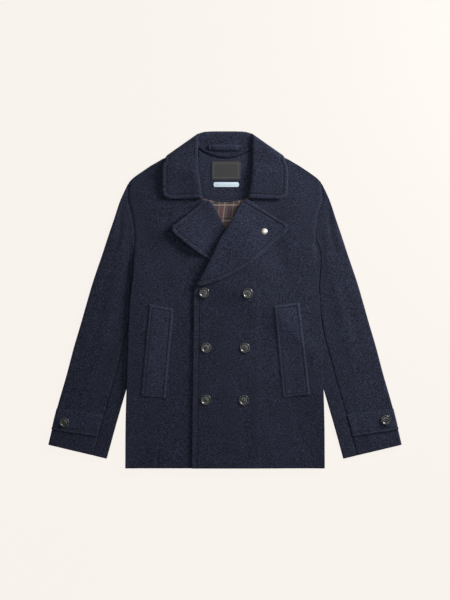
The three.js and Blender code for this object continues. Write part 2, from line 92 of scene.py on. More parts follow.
def smooth(at, values):
    """A smooth curve through values, read at any place."""
    last = len(at) - 1
    slopes = []
    for i in range(last + 1):
        before, after = max(0, i - 1), min(last, i + 1)
        slopes.append((values[after] - values[before]) / (at[after] - at[before]))

    def read(place):
        p = min(at[last], max(at[0], place))
        i = 0
        while i < last - 1 and p > at[i + 1]:
            i += 1
        span = at[i + 1] - at[i]
        t = (p - at[i]) / span
        s = 1 - t
        return (
            s * s * (1 + 2 * t) * values[i] + t * s * s * slopes[i] * span
            + t * t * (3 - 2 * t) * values[i + 1] - t * t * s * slopes[i + 1] * span
        )

    return read


def along(columns):
    """The same for a whole table, with the place counted in rows."""
    count = len(next(iter(columns.values())))
    reads = {name: smooth(list(range(count)), values) for name, values in columns.items()}
    return lambda order: {name: read(order) for name, read in reads.items()}


BODY = table(
    "inner_x inner_y outer_x outer_y",
    (-80.6, HEM_Y, 245, HEM_Y), (-79.2, -300, 244, -300), (-77.6, -180, 240.5, -180),
    (-76.2, -70, 236.5, -70), (-75, 12, 233, 0), (-69, 36, 230.5, 22), (-50, 68, 226.5, 52),
    (-34, 98, 224, 80), (-12, 147, 223.4, 118), (5, 174, 223, 143), (16, 191, 223.7, 160),
    (36, 234, 226.4, 195), (57.5, 247.5, 229.2, 213), (71, 262, 233, 225), (74.5, 295, 238, 243),
    (76.5, 335, 239.2, 264), (77, 378, 236.3, 288),
)
NECK_X, NECK_Y, NECK_BACK_Y = 77.0, 378.0, 347.0
SHOULDER = table(
    "x y",
    (77, 378), (100, 366), (120, 355), (140, 350.5), (153, 345.6), (167, 337.6),
    (184, 328), (198.5, 318.3), (213, 308.5), (226, 298.6), (236.3, 288),
)
SLEEVES = table(
    "inner_x inner_y outer_x outer_y",
    (290, -388.6, 433.7, -354), (267, -305, 413, -268), (243.8, -225, 389, -184),
    (228.5, -170, 371, -116), (215, -120, 354.5, -60), (206.5, -78, 340, -9), (204, -38, 326, 39),
    (205, 2, 313, 78), (211, 38, 300, 116), (219, 60, 287, 156), (227, 77, 272, 200),
    (226.6, 92, 257, 245), (225.2, 106, 236.8, 288.4),
)
body_row = along(BODY)
side_x = smooth(BODY["outer_y"], BODY["outer_x"])
front_edge_x = smooth(BODY["inner_y"], BODY["inner_x"])
shoulder_y = smooth(SHOULDER["x"], SHOULDER["y"])
tuck_x = smooth(SLEEVES["inner_y"][:11], SLEEVES["inner_x"][:11])

# Soft creases: a line from one place to another, how wide it is and how high it stands
BACK_CREASES = table(
    "x0 y0 x1 y1 width height",
    (-150, 150, -95, -60, 26, 1.1), (160, 120, 118, -90, 30, 1.0), (-60, -180, -20, -330, 24, 0.8),
    (70, -160, 96, -350, 28, 0.9), (-190, -120, -170, -300, 22, 0.8), (20, 210, -30, 120, 30, 0.7),
)


def creased(lines, x, y):
    """How far the cloth at a place is lifted or sunk by the creases near it."""
    total = 0.0
    for x0, y0, x1, y1, width, height in zip(*lines.values()):
        if not (min(x0, x1) - 3 * width < x < max(x0, x1) + 3 * width):
            continue
        way_x, way_y = x1 - x0, y1 - y0
        length = math.hypot(way_x, way_y)
        share = ((x - x0) * way_x + (y - y0) * way_y) / length ** 2
        if -0.25 < share < 1.25:
            off = ((x - x0) * way_y - (y - y0) * way_x) / length
            wander = off + width * 0.22 * math.sin(share * 5.1 + x0)
            ends = ramp(share, -0.25, 0.3) * (1 - ramp(share, 0.7, 1.25))
            total += height * ends * math.exp(-((wander / width) ** 2) * 2.2)
    return total


def back_low(x, y):
    across = abs(x)
    tuck = tuck_x(y)
    on_sleeve = ramp(across, tuck - TUCK_SLOPE, tuck - 3) * (1 - ramp(y, 78, 150))
    fall_y = 327 + 20 * (across / 135) ** 2
    on_collar = ramp(y, fall_y - 86, fall_y - 14) * (1 - ramp(across, 150, 205))
    lifted = on_sleeve * (SLEEVE + 2 * SEAM) + on_collar * (COLLAR_CLOTH + REST)
    return lifted + creased(BACK_CREASES, x, y)


def back_high(x, y):
    return back_low(x, y) + CLOTH


def steps(length, fine, coarse, start=True, end=True):
    """Shares from 0 to 1 along a length, closer together near the ends that are named."""
    places = [0.0]
    while places[-1] < length:
        room = min(places[-1] if start else length, length - places[-1] if end else length)
        places.append(places[-1] + min(coarse, fine + 0.22 * max(0.0, room)))
    return [place / places[-1] for place in places]


def finish_mesh(name, corners, faces, material, attributes=None):
    """A smooth mesh object at the origin, in metres, with its values at corners kept as attributes."""
    mesh = bpy.data.meshes.new(name)
    mesh.from_pydata([(x * MM, y * MM, z * MM) for x, y, z in corners], [], faces)
    mesh.validate()
    mesh.shade_smooth()
    mesh.materials.append(material)
    for key, values in (attributes or {}).items():
        layer = mesh.attributes.new(key, "FLOAT", "POINT")
        layer.data.foreach_set("value", values)
    piece = bpy.data.objects.new(name, mesh)
    bpy.context.scene.collection.objects.link(piece)
    return piece


def wall(name, face_a, face_b, material, free="", edge=None):
    """A closed wall between two grids of points. A free side has a full round rim, a sewn one a slight one.
    edge gives the distance from a place to the stitched edge, for the material, which paints a highlight and a
    groove shade from it."""
    rows, columns = len(face_a), len(face_a[0])
    corners = [p for row in face_a for p in row] + [p for row in face_b for p in row]
    far = rows * columns
    faces = []
    for i in range(rows - 1):
        for j in range(columns - 1):
            a, b = i * columns + j, i * columns + j + 1
            c, d = b + columns, a + columns
            faces += [(a, b, c, d), (far + a, far + d, far + c, far + b)]
    rim = [(0, j, "first") for j in range(columns - 1)]
    rim += [(i, columns - 1, "end") for i in range(rows - 1)]
    rim += [(rows - 1, j, "last") for j in range(columns - 1, 0, -1)]
    rim += [(i, 0, "start") for i in range(rows - 1, 0, -1)]
    turns = (0.2, 0.5, 0.8)
    first = len(corners)
    for k, (i, j, side) in enumerate(rim):
        before = rim[k - 1][2]
        a, b = Vector(face_a[i][j]), Vector(face_b[i][j])
        ii, jj = min(rows - 2, max(1, i)), min(columns - 2, max(1, j))
        inside = (Vector(face_a[ii][jj]) + Vector(face_b[ii][jj])) / 2
        middle = (a + b) / 2
        out = (middle - inside).normalized()
        bulge = (a - b).length * (0.42 if side in free and before in free else 0.03)
        for turn in turns:
            angle = math.pi * turn
            point = middle + (a - b) / 2 * math.cos(angle) + out * bulge * math.sin(angle)
            corners.append(tuple(point))
    count = len(rim)
    per = len(turns)
    for k, (i, j, _) in enumerate(rim):
        n = (k + 1) % count
        ni, nj, _ = rim[n]
        here = [i * columns + j] + [first + k * per + t for t in range(per)] + [far + i * columns + j]
        there = [ni * columns + nj] + [first + n * per + t for t in range(per)] + [far + ni * columns + nj]
        for t in range(per + 1):
            faces.append((here[t], here[t + 1], there[t + 1], there[t]))
    volume = 0.0
    for a, b, c, d in faces[: 2 * (rows - 1) * (columns - 1)]:
        pa, pb, pc, pd = (Vector(corners[k]) for k in (a, b, c, d))
        volume += pa.dot(pb.cross(pc)) + pa.dot(pc.cross(pd))
    if volume < 0:
        faces = [face[::-1] for face in faces]
    attributes = None
    if edge:
        attributes = {"edge": [edge(x, y) for x, y, _ in corners]}
    return finish_mesh(name, corners, faces, material, attributes)


def layer(name, places, low, high, material, free="", edge=None):
    """A wall over a grid of places on the table, between two heights."""
    face_a = [[(x, y, high(x, y)) for x, y in row] for row in places]
    face_b = [[(x, y, low(x, y)) for x, y in row] for row in places]
    return wall(name, face_a, face_b, material, free, edge)


class Socket:
    """A shader socket that takes arithmetic."""

    def __init__(self, graph, socket):
        self.graph, self.socket = graph, socket

    def maths(self, operation, a, b=None, c=None):
        values = {i: v for i, v in enumerate((a, b, c)) if v is not None}
        return self.graph.node("ShaderNodeMath", {"operation": operation}, values)

    def __add__(self, other):
        return self.maths("ADD", self, other)

    def __sub__(self, other):
        return self.maths("SUBTRACT", self, other)

    def __rsub__(self, other):
        return self.maths("SUBTRACT", other, self)

    def __mul__(self, other):
        return self.maths("MULTIPLY", self, other)

    def __truediv__(self, other):
        return self.maths("DIVIDE", self, other)

    def __pow__(self, other):
        return self.maths("POWER", self, other)

    __radd__ = __add__
    __rmul__ = __mul__


class Graph:
    """A material's node graph, built from expressions."""

    def __init__(self, name):
        self.material = bpy.data.materials.new(name)
        self.material.use_nodes = True
        self.tree = self.material.node_tree
        self.tree.nodes.clear()

    def node(self, kind, settings, values, output=0):
        made = self.tree.nodes.new(kind)
        for key, value in settings.items():
            if key == "stops":
                while len(made.color_ramp.elements) < len(value):
                    made.color_ramp.elements.new(0.5)
                for element, (place, colour) in zip(made.color_ramp.elements, value):
                    element.position, element.color = place, colour
            else:
                setattr(made, key, value)
        for key, value in values.items():
            if isinstance(value, Socket):
                self.tree.links.new(value.socket, made.inputs[key])
            else:
                made.inputs[key].default_value = value
        return Socket(self, made.outputs[output]) if made.outputs else None

    def place(self):
        return self.node("ShaderNodeTexCoord", {}, {}, "Object")

    def noise(self, scale, detail=2.0, rough=0.5, at=None, distortion=0.0):
        values = {"Vector": at or self.place(), "Scale": scale, "Detail": detail,
                  "Roughness": rough, "Distortion": distortion}
        return self.node("ShaderNodeTexNoise", {}, values, "Fac")

    def blend(self, a, b, share):
        return self.node("ShaderNodeMix", {"data_type": "RGBA"}, {6: a, 7: b, 0: share}, 2)

    def rise(self, value, low, high):
        return self.node(
            "ShaderNodeMapRange", {"interpolation_type": "SMOOTHSTEP"},
            {0: value, 1: low, 2: high, 3: 0.0, 4: 1.0},
        )

    def bump(self, height, strength, distance):
        return self.node("ShaderNodeBump", {}, {"Height": height, "Strength": strength, "Distance": distance})

    def surface(self, **values):
        named = {key.replace("_", " "): value for key, value in values.items()}
        shader = self.node("ShaderNodeBsdfPrincipled", {}, named)
        self.node("ShaderNodeOutputMaterial", {}, {"Surface": shader})
        return self.material


def wool(name, lightness=1.0):
    """Felted navy melton: a dark ground and a short lighter nap in flecks. Stitched edges are pressed in, with a
    painted highlight on the raised band by the edge and painted shade in the stitch groove. lightness scales the
    whole colour.
    """
    g = Graph(name)
    fleck = g.noise(430.0, 3.0, 0.62)
    fibre = g.noise(1250.0, 2.0, 0.55)
    cloud = g.noise(17.0, 2.0, 0.5)
    nap = g.rise(fleck * 0.66 + fibre * 0.34, 0.42, 0.68)
    ground = (0.0046 * lightness, 0.0053 * lightness, 0.0105 * lightness, 1)
    light = (0.0430 * lightness, 0.0505 * lightness, 0.0930 * lightness, 1)
    colour = g.blend(ground, light, nap * (0.72 + cloud * 0.56))
    edge = g.node("ShaderNodeAttribute", {"attribute_name": "edge"}, {}, "Fac")
    off = g.node("ShaderNodeMath", {"operation": "ABSOLUTE"}, {0: edge - 9.0})
    groove = 1 - g.rise(off, 0.2, 2.0)
    # Painted highlight: the raised band just inside a stitched edge is painted lighter, where it would catch the
    # light.
    ridge = g.rise(edge, 0.0, 1.5) * (1 - g.rise(edge, 5.0, 7.5))
    grain_and_painted_highlight = g.blend(colour, (0.060, 0.068, 0.108, 1), ridge * (0.04 + nap * 0.16))
    # Painted shade: the stitch groove 9 mm in from the edge is painted darker.
    shaded = g.blend(grain_and_painted_highlight, (0.003, 0.0033, 0.006, 1), groove * 0.5)
    height = fleck * 0.5 + fibre * 0.35 - groove * 1.1
    return g.surface(
        Base_Color=shaded, Roughness=0.93, Normal=g.bump(height, 0.75, 0.0011), Sheen_Weight=0.16,
        Sheen_Roughness=0.45, Sheen_Tint=(0.62, 0.68, 0.95, 1), Specular_IOR_Level=0.18,
    )


WOOL = wool("navy_melton", 0.94)
FAR = 100.0


def back_places():
    top = NECK_Y - NECK_BACK_Y
    tip_x, tip_y = BODY["outer_x"][-1], BODY["outer_y"][-1]

    def top_y(x):
        if abs(x) < NECK_X:
            return NECK_BACK_Y + top * (x / NECK_X) ** 2 - 1
        return shoulder_y(abs(x))

    across = [2 * share - 1 for share in steps(490, 1.6, 7.5)]
    places = []
    for v in steps(760, 1.6, 8.0):
        edge = side_x(mix(HEM_Y, tip_y, v)) - SEAM
        places.append([(u * edge, mix(HEM_Y, top_y(u * tip_x), v)) for u in across])
    return places


back = layer("back_panel", back_places(), back_low, back_high, WOOL, "first", lambda x, y: FAR)
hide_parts("back")
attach(back, "root")


# The two fronts. Each is a panel of the same melton, from the front edge and the fold of its lapel out to
# the side seam and armhole. The left one laps over the right one and is stitched along its edge.
SLACK = 0.5
AIR = 1.2
CROSSING = table("x y", (-36, 98), (2, 184), (68, 34))
FRONT_CREASES = table(
    "x0 y0 x1 y1 width height",
    (196, 236, 176, 70, 17, -0.9), (150, 215, 158, 40, 22, 0.9), (-198, 232, -182, 90, 16, -1.0),
    (128, 245, 150, 55, 58, -2.2), (-158, 210, -150, 60, 22, 0.8), (-205, 20, -214, -190, 13, 0.8), (212, 10, 222, -190, 14, 0.9),
    (96, -60, 108, -300, 24, -0.7), (-110, -70, -112, -330, 22, -0.7), (10, -60, 4, -380, 30, 0.6),
    (-190, -250, -176, -390, 22, 0.8), (172, -262, 158, -395, 24, 0.7), (60, -270, 44, -400, 18, -0.6),
    (-100, 110, -130, 20, 22, 0.6), (120, 90, 96, 0, 24, 0.5),
)


def front_low(x, y):
    across = abs(x)
    from_side = 1 - ramp(across, side_x(y) - 60, side_x(y) - 8)
    from_shoulder = 1.0
    if across > NECK_X:
        from_shoulder = 1 - ramp(y, shoulder_y(across) - 60, shoulder_y(across) - 8)
    open_part = from_side * from_shoulder
    gap = SEAM + SLACK + AIR * open_part
    return back_high(x, y) + gap + creased(FRONT_CREASES, x, y) * mix(0.25, 1, open_part)


def seam_roll(x, y):
    """How far the cloth rolls down into the armhole seam."""
    if y < 100:
        return 0.0
    inside = side_x(y) - abs(x)
    return 1.5 * math.exp(-((inside / 3.2) ** 2)) - 0.5 * math.exp(-(((inside - 9) / 5) ** 2))


def right_front_high(x, y):
    return front_low(x, y) + CLOTH - seam_roll(x, y)


def into_crossing(x, y):
    nearest = 1e9
    for i in range(3):
        k = (i + 1) % 3
        ax, ay = CROSSING["x"][i], CROSSING["y"][i]
        bx, by = CROSSING["x"][k], CROSSING["y"][k]
        side = ((by - ay) * (x - ax) - (bx - ax) * (y - ay)) / math.hypot(bx - ax, by - ay)
        nearest = min(nearest, side)
    return nearest


def left_front_low(x, y):
    edge = -front_edge_x(y)
    on_front = (1 - ramp(x, edge + 12, edge + 100)) * (1 - ramp(y, 215, 275))
    on_lapel = ramp(into_crossing(x, y), -92, -22)
    lift = 1.7 * (1 - ramp(x, edge, edge + 14)) * (1 - ramp(y, 30, 60))
    return front_low(x, y) + (CLOTH + SEAM) * on_front + (COLLAR_CLOTH + REST + SEAM) * on_lapel + lift


def left_front_high(x, y):
    return left_front_low(x, y) + CLOTH - seam_roll(x, y)


FRONT_HIGH = {1: left_front_high, -1: right_front_high}
STITCH_BAND = 12.0


def front_places(side):
    last = len(BODY["inner_x"]) - 1
    tip_y = BODY["outer_y"][-1]
    places = []
    for v in steps(800, 1.6, 5.5):
        row = body_row(v * last)
        arch = ramp(v * last, last - 2.5, last)
        line = []
        for u in steps(325, 1.3, 6.0):
            x = mix(row["inner_x"], row["outer_x"] - SEAM, u)
            y = mix(row["inner_y"], row["outer_y"], u)
            y += arch * (shoulder_y(x) - mix(NECK_Y, tip_y, u))
            line.append((side * x, y))
        places.append(line)
    return places


def front_edge(side):
    def read(x, y):
        return FAR if y > 34 else abs(side * x - front_edge_x(y)) * 9.0 / STITCH_BAND

    return read


for side, name in ((-1, "right"), (1, "left")):
    low = left_front_low if side > 0 else front_low
    panel = layer(f"front_panel_{name}", front_places(side), low, FRONT_HIGH[side], WOOL,
                  "first start", front_edge(side))
    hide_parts(f"front_{name}")
    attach(panel, "root")


# The lapels. Each is the facing and front cloth turned out together on the fold, two cloths thick, notched
# under the collar and stitched 9 mm in from its edge. Its outer edge stands a little off the front.
LAPELS = {
    1: table(
        "fold_x fold_y edge_x edge_y",
        (53, 245.5, 138, 194.5), (48, 242, 148, 188), (41, 236, 152.5, 181), (34, 226, 151.5, 173.5),
        (24, 207, 143, 163), (10, 181, 124, 146), (-12, 147, 87, 112.5), (-28, 112, 49, 82),
        (-41, 85, 5, 57.5), (-54, 61, -36, 41.5), (-67, 38.5, -63, 36),
    ),
    -1: table(
        "fold_x fold_y edge_x edge_y",
        (-51, 243, -113, 191), (-46, 243, -124, 184.5), (-38, 240, -129, 177), (-30, 230, -127.5, 168.5),
        (-20, 213, -118, 158.5), (-8, 191, -99, 143), (4, 168, -76, 125), (16, 138, -36, 98.5),
        (31, 105, 1, 74), (47, 73, 36, 51.5), (65, 41, 61, 38.5),
    ),
}


def distance_to(points):
    """How far a place is from a line of points, up to FAR."""
    pieces = [(a, b) for a, b in zip(points[:-1], points[1:]) if math.dist(a, b) > 1e-6]

    def read(x, y):
        nearest = FAR
        for (ax, ay), (bx, by) in pieces:
            wx, wy = bx - ax, by - ay
            t = clamp(((x - ax) * wx + (y - ay) * wy) / (wx * wx + wy * wy))
            nearest = min(nearest, math.hypot(x - ax - wx * t, y - ay - wy * t))
        return nearest

    return read


def piped(distance):
    """The puffed band of a stitched edge, and the groove its stitches pull."""
    puff = math.exp(-(((distance - 4.2) / 2.9) ** 2))
    return 0.6 * puff - 0.75 * math.exp(-(((distance - 9) / 1.9) ** 2))


def lapel_grid(side):
    rows = LAPELS[side]
    read = along(rows)
    last = len(rows["fold_x"]) - 1
    lines = []
    for v in steps(330, 1.4, 5.0):
        row = read(v * last)
        width = math.hypot(row["edge_x"] - row["fold_x"], row["edge_y"] - row["fold_y"])
        line = []
        for u in steps(110, 1.3, 4.5):
            x, y = mix(row["fold_x"], row["edge_x"], u), mix(row["fold_y"], row["edge_y"], u)
            line.append((x, y, u * width))
        lines.append(line)
    return lines


# The lapels take a copy of the melton painted lighter (1.08 against the body's 0.94), standing in for the light
# their raised, tilted faces catch.
LAPEL_WOOL_PAINTED_LIGHTER = wool("lapel_melton_painted_lighter", 1.08)
LAPEL_LIFT = {1: 4.5, -1: 8.5}
LAPEL_EDGE = {}
for side, name in ((-1, "right"), (1, "left")):
    grid = lapel_grid(side)
    outline = [p[:2] for p in grid[0]] + [row[-1][:2] for row in grid[1:]]
    LAPEL_EDGE[side] = outline
    to_edge = distance_to(outline[::2] + [outline[-1]])
    high = FRONT_HIGH[side]

    def lapel_faces(x, y, from_fold):
        pressed = 0.0 if side > 0 else ramp(into_crossing(x, y), -40, -15)
        lift = LAPEL_LIFT[side] * ramp(from_fold, 8, 125) * 1.15 * (1 - pressed)
        low = high(x, y) + REST + lift
        roll = 2.0 * math.exp(-(((from_fold - 6) / 12) ** 2)) * (1 - pressed)
        relief = piped(to_edge(x, y)) * (1 - pressed)
        return low, low + COLLAR_CLOTH + roll + relief

    face_a = [[(x, y, lapel_faces(x, y, w)[1]) for x, y, w in row] for row in grid]
    face_b = [[(x, y, lapel_faces(x, y, w)[0]) for x, y, w in row] for row in grid]
    lapel = wall(f"lapel_leaf_{name}", face_a, face_b, LAPEL_WOOL_PAINTED_LIGHTER, "first end last start", to_edge)
    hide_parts(f"lapel_{name}")
    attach(lapel, "root")


# The collar. One strip of doubled melton sewn round the neck: it stands up inside the back of the neck,
# rolls over, and falls in two wide leaves on the fronts. Behind, it is turned down under the back.
COLLAR = table(
    "neck_x neck_y roll_x roll_y edge_x edge_y level",
    (64, 256, 57, 251, 135, 248.5, 1), (67.5, 267, 59, 262, 147.5, 255, 1),
    (70, 281, 61, 278, 151.5, 266, 1), (72.5, 305, 65.5, 308, 152.5, 295, 1),
    (74.3, 332, 67, 345, 152, 322, 1), (74.9, 353, 68, 375, 150.5, 332, 1),
    (74.9, 369, 68.3, 396.5, 147, 338.5, 1), (74, 377.2, 67.8, 402.6, 144.5, 347.6, 0.7),
    (71.5, 376, 66.6, 405.8, 140, 354.2, 0), (67.5, 373.2, 64.2, 406.5, 133.5, 353.4, -0.7),
    (62, 369.3, 59.5, 408.5, 129, 350.5, -1), (50, 362.2, 47, 411.2, 106, 337.5, -1),
    (28, 353, 25, 412, 55, 330, -1), (0, 348.5, 0, 412, 0, 327, -1),
)
COLLAR_HALF = COLLAR_CLOTH / 2
collar_row = along(COLLAR)
COLLAR_LAST = len(COLLAR["neck_x"]) - 1
BACK_NECK_Z = COLLAR_CLOTH + REST + COLLAR_HALF + 0.2
LEAF_LIFT = 3.0
# The collar takes a copy of the melton painted a little lighter (1.0 against the body's 0.94), standing in for the
# light its raised leaves catch.
COLLAR_WOOL_PAINTED_LIGHTER = wool("collar_melton_painted_lighter", 1.0)


def collar_line(order, side):
    """Points across the collar's middle, from neck seam through the roll to the outer edge."""
    row = collar_row(order)
    high = FRONT_HIGH[side]
    on = (1 + row["level"]) / 2

    def leaf_z(x, y, share):
        top = high(side * x, y) + REST + SLACK + COLLAR_HALF + 0.15
        free = ramp(row["level"], 0, 1) * (1 - ramp(y, 310, 345))
        top += (LEAF_LIFT * ramp(share, 0.3, 1.0) + 4.6 * math.exp(-(((share - 0.1) / 0.42) ** 2))) * free
        return mix(COLLAR_HALF, top, on)

    roll_x, roll_y = row["roll_x"], row["roll_y"]
    roll_z = leaf_z(roll_x, roll_y, 0)
    front_z = high(side * NECK_X, row["neck_y"]) - CLOTH / 2
    neck_z = mix(BACK_NECK_Z, front_z, on)
    stand_z = mix(BACK_NECK_Z + 2.2, front_z + 0.2, on)
    turn_z = (stand_z + roll_z) / 2
    to_edge = Vector((row["edge_x"] - roll_x, row["edge_y"] - roll_y)).normalized()
    to_neck = Vector((row["neck_x"] - roll_x, row["neck_y"] - roll_y))
    way = to_neck.length
    to_neck.normalize()
    key = [(row["neck_x"], row["neck_y"], neck_z)]
    for distance, z in ((way * 0.55, mix(neck_z, stand_z, 0.5)), (min(4.5, way * 0.28), stand_z)):
        key.append((roll_x + to_neck.x * distance, roll_y + to_neck.y * distance, z))
    key.append((roll_x, roll_y, turn_z))
    key.append((roll_x + to_edge.x * 4, roll_y + to_edge.y * 4, mix(turn_z, roll_z, 0.86)))
    for u in (0.13, 0.33, 0.56, 0.79, 1):
        x, y = mix(roll_x, row["edge_x"], u), mix(roll_y, row["edge_y"], u)
        key.append((x, y, leaf_z(x, y, u)))
    reads = [smooth(list(range(len(key))), [p[axis] for p in key]) for axis in range(3)]
    return [[read(t) for read in reads] for t in COLLAR_TURNS]


COLLAR_TURNS = [0, 0.25, 0.5, 0.8, 1.1, 1.4, 1.7, 2, 2.3, 2.55, 2.8, 3, 3.2, 3.45, 3.7, 4, 4.4, 4.8]
COLLAR_TURNS += [5.1 + 0.22 * k for k in range(15)] + [8.35, 8.5, 8.65, 8.8, 8.9, 9]


def shell(name, points, thickness, material, free="", edge=None, relief=None):
    """A wall about a grid of points, half its thickness to each side."""
    rows, columns = len(points), len(points[0])
    grid = [[Vector(p) for p in row] for row in points]
    faces = ([], [])
    for i in range(rows):
        lines = ([], [])
        for j in range(columns):
            along_way = grid[min(rows - 1, i + 1)][j] - grid[max(0, i - 1)][j]
            across = grid[i][min(columns - 1, j + 1)] - grid[i][max(0, j - 1)]
            normal = along_way.cross(across).normalized()
            extra = relief(grid[i][j], normal) if relief else 0.0
            lines[0].append(tuple(grid[i][j] + normal * (thickness / 2 + (extra if normal.z > 0 else 0))))
            lines[1].append(tuple(grid[i][j] - normal * (thickness / 2 + (extra if normal.z < 0 else 0))))
        faces[0].append(lines[0])
        faces[1].append(lines[1])
    return wall(name, faces[0], faces[1], material, free, edge)


orders = [share * COLLAR_LAST for share in steps(330, 1.6, 4.2, end=False)]
left_lines = [collar_line(order, 1) for order in orders]
right_lines = [[(-x, y, z) for x, y, z in collar_line(order, -1)] for order in orders[:-1]]
collar_lines = left_lines + right_lines[::-1]
leaf_outline = [line[-1][:2] for line in left_lines if line[-1][1] < 346 and line[-1][2] > 8]
front_end = [(p[0], p[1]) for p in left_lines[0][12:]]
right_outline = [line[-1][:2] for line in right_lines if line[-1][1] < 346 and line[-1][2] > 8]
right_end = [(p[0], p[1]) for p in right_lines[0][12:]]
LEAF_EDGE = {1: front_end + leaf_outline, -1: right_end + right_outline}
to_leaf = {s: distance_to(points[::2] + [points[-1]]) for s, points in LEAF_EDGE.items()}


def collar_edge(x, y):
    return to_leaf[1 if x > 0 else -1](x, y) if abs(x) > 54 and y < 350 else FAR


def collar_relief(p, normal):
    """The piped edges of the leaves, and the full ridge just above the neck seam."""
    if abs(p.x) < 62 and p.y > 345 and normal.z:
        above = p.y - mix(NECK_BACK_Y, NECK_Y, (p.x / NECK_X) ** 2)
        return 1.3 * math.exp(-(((above - 7) / 4.5) ** 2)) - 0.8 * math.exp(-(((above - 17) / 4) ** 2))
    return piped(collar_edge(p.x, p.y)) if p.z > 8 and abs(normal.z) > 0.7 else 0.0


collar = shell("collar_strip", collar_lines, COLLAR_CLOTH, COLLAR_WOOL_PAINTED_LIGHTER, "first end last", collar_edge, collar_relief)
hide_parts("collar")
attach(collar, "root")


# The sleeves. Each is two panels sewn at a front seam near the inner edge and an elbow seam underneath, and
# lies flattened with its inner edge tucked under the body. The cuff is open.
ARMHOLE = table(
    "share x y",
    (0, 225.2, 106), (0.16, 223.6, 135), (0.34, 224.2, 168), (0.44, 225.8, 185), (0.58, 229.8, 211),
    (0.72, 236, 235), (0.8, 239.4, 248), (0.9, 239.8, 267), (1, 236.8, 288.4),
)
armhole_x = smooth(ARMHOLE["share"], ARMHOLE["x"])
armhole_y = smooth(ARMHOLE["share"], ARMHOLE["y"])
sleeve_row = along(SLEEVES)
SLEEVE_LAST = len(SLEEVES["inner_x"]) - 1
FULL = 2.0
FRONT_SEAM = 0.23
ELBOW_SEAM = 0.2
SLEEVE_CREASES = table(
    "x0 y0 x1 y1 width height",
    (246, 240, 272, 118, 12, -2.0), (264, 225, 294, 110, 13, 1.0), (258, 60, 300, -70, 13, 0.8),
    (290, 40, 330, -110, 15, -0.8), (330, -40, 372, -200, 18, 0.7), (300, -150, 340, -260, 15, -0.7),
    (250, 130, 246, 40, 9, 0.8), (352, -130, 398, -260, 16, -0.6), (318, -230, 352, -345, 16, 0.7),
)


def on_sleeve(side, order, turn, out):
    """A place on a sleeve: order counts rows from the cuff, and turn goes round it, 0 to 1 across the top,
    to 2 round the outer edge, to 3 back underneath, to 4 round the inner edge. out is off the middle."""
    row = sleeve_row(order)
    across = turn if turn <= 1 else 1.0 if turn <= 2 else 3 - turn if turn <= 3 else 0.0
    near_top = ramp(order, SLEEVE_LAST - 1.8, SLEEVE_LAST)
    below = turn >= 2
    full = ramp(across, 0.34, 0.62) * (1 - near_top)
    height = SLEEVE + (0 if below else FULL * full)
    outer_height = SLEEVE + FULL * (1 - near_top)
    way = Vector((row["outer_x"] - row["inner_x"], row["outer_y"] - row["inner_y"]))
    width = way.length
    way.normalize()
    reach = mix(SLEEVE / 2, width - outer_height / 2, across)
    meet = ramp(order, SLEEVE_LAST - 4, SLEEVE_LAST)
    off_x = armhole_x(across) - mix(SLEEVES["inner_x"][-1], SLEEVES["outer_x"][-1], across)
    off_y = armhole_y(across) - mix(SLEEVES["inner_y"][-1], SLEEVES["outer_y"][-1], across)
    into_seam = 2.2 * ramp(order, SLEEVE_LAST - 0.12, SLEEVE_LAST)
    into_seam += 4.0 * ramp(order, SLEEVE_LAST - 3.6, SLEEVE_LAST - 2.3) * (1 - ramp(across, 0, 0.12))
    x = row["inner_x"] + way.x * reach + meet * off_x - into_seam
    y = row["inner_y"] + way.y * reach + meet * off_y
    if below and turn <= 3:
        z = CLOTH / 2 - out
    elif 1 < turn < 2:
        angle = math.pi * (turn - 1)
        bulge = math.sin(angle) * (outer_height / 2 - CLOTH / 2 + out)
        x += way.x * bulge
        y += way.y * bulge
        tall = SLEEVE if turn > 1.5 else outer_height
        z = outer_height / 2 + (tall / 2 - CLOTH / 2 + out) * math.cos(angle)
        if turn > 1.5:
            z = mix(z, CLOTH / 2 - out, 0.0)
    elif turn > 3:
        angle = math.pi * (turn - 3)
        radius = SLEEVE / 2 - CLOTH / 2 + out
        x -= way.x * math.sin(angle) * radius
        y -= way.y * math.sin(angle) * radius
        z = SLEEVE / 2 - radius * math.cos(angle)
    else:
        z = height - CLOTH / 2 + out
        free = ramp(across, 0.3, 0.5) * (1 - ramp(across, 0.9, 1.0)) * (1 - near_top)
        z += creased(SLEEVE_CREASES, x, y) * free
        z -= 1.1 * math.exp(-(((across - FRONT_SEAM) * width / 2.6) ** 2))
        z -= 1.2 * math.exp(-(((SLEEVE_LAST - order) * 26 / 3.0) ** 2)) * ramp(across, 0.1, 0.3)
    return (side * x, y, z)


def sleeve_strip(name, side, turns, rows_fine):
    rows = [share * SLEEVE_LAST for share in steps(690, 1.6, rows_fine)]
    to_seam = distance_to([on_sleeve(side, k * SLEEVE_LAST / 40, FRONT_SEAM, 0)[:2] for k in range(41)])
    # The front seam is passed to the wool as a stitch line 9 mm in, so the wool paints shade along the seam.
    edge = lambda x, y: 9 + to_seam(x, y)
    face_a = [[on_sleeve(side, order, turn, CLOTH / 2) for turn in turns] for order in rows]
    face_b = [[on_sleeve(side, order, turn, -CLOTH / 2) for turn in turns] for order in rows]
    return wall(name, face_a, face_b, WOOL, "first", edge)


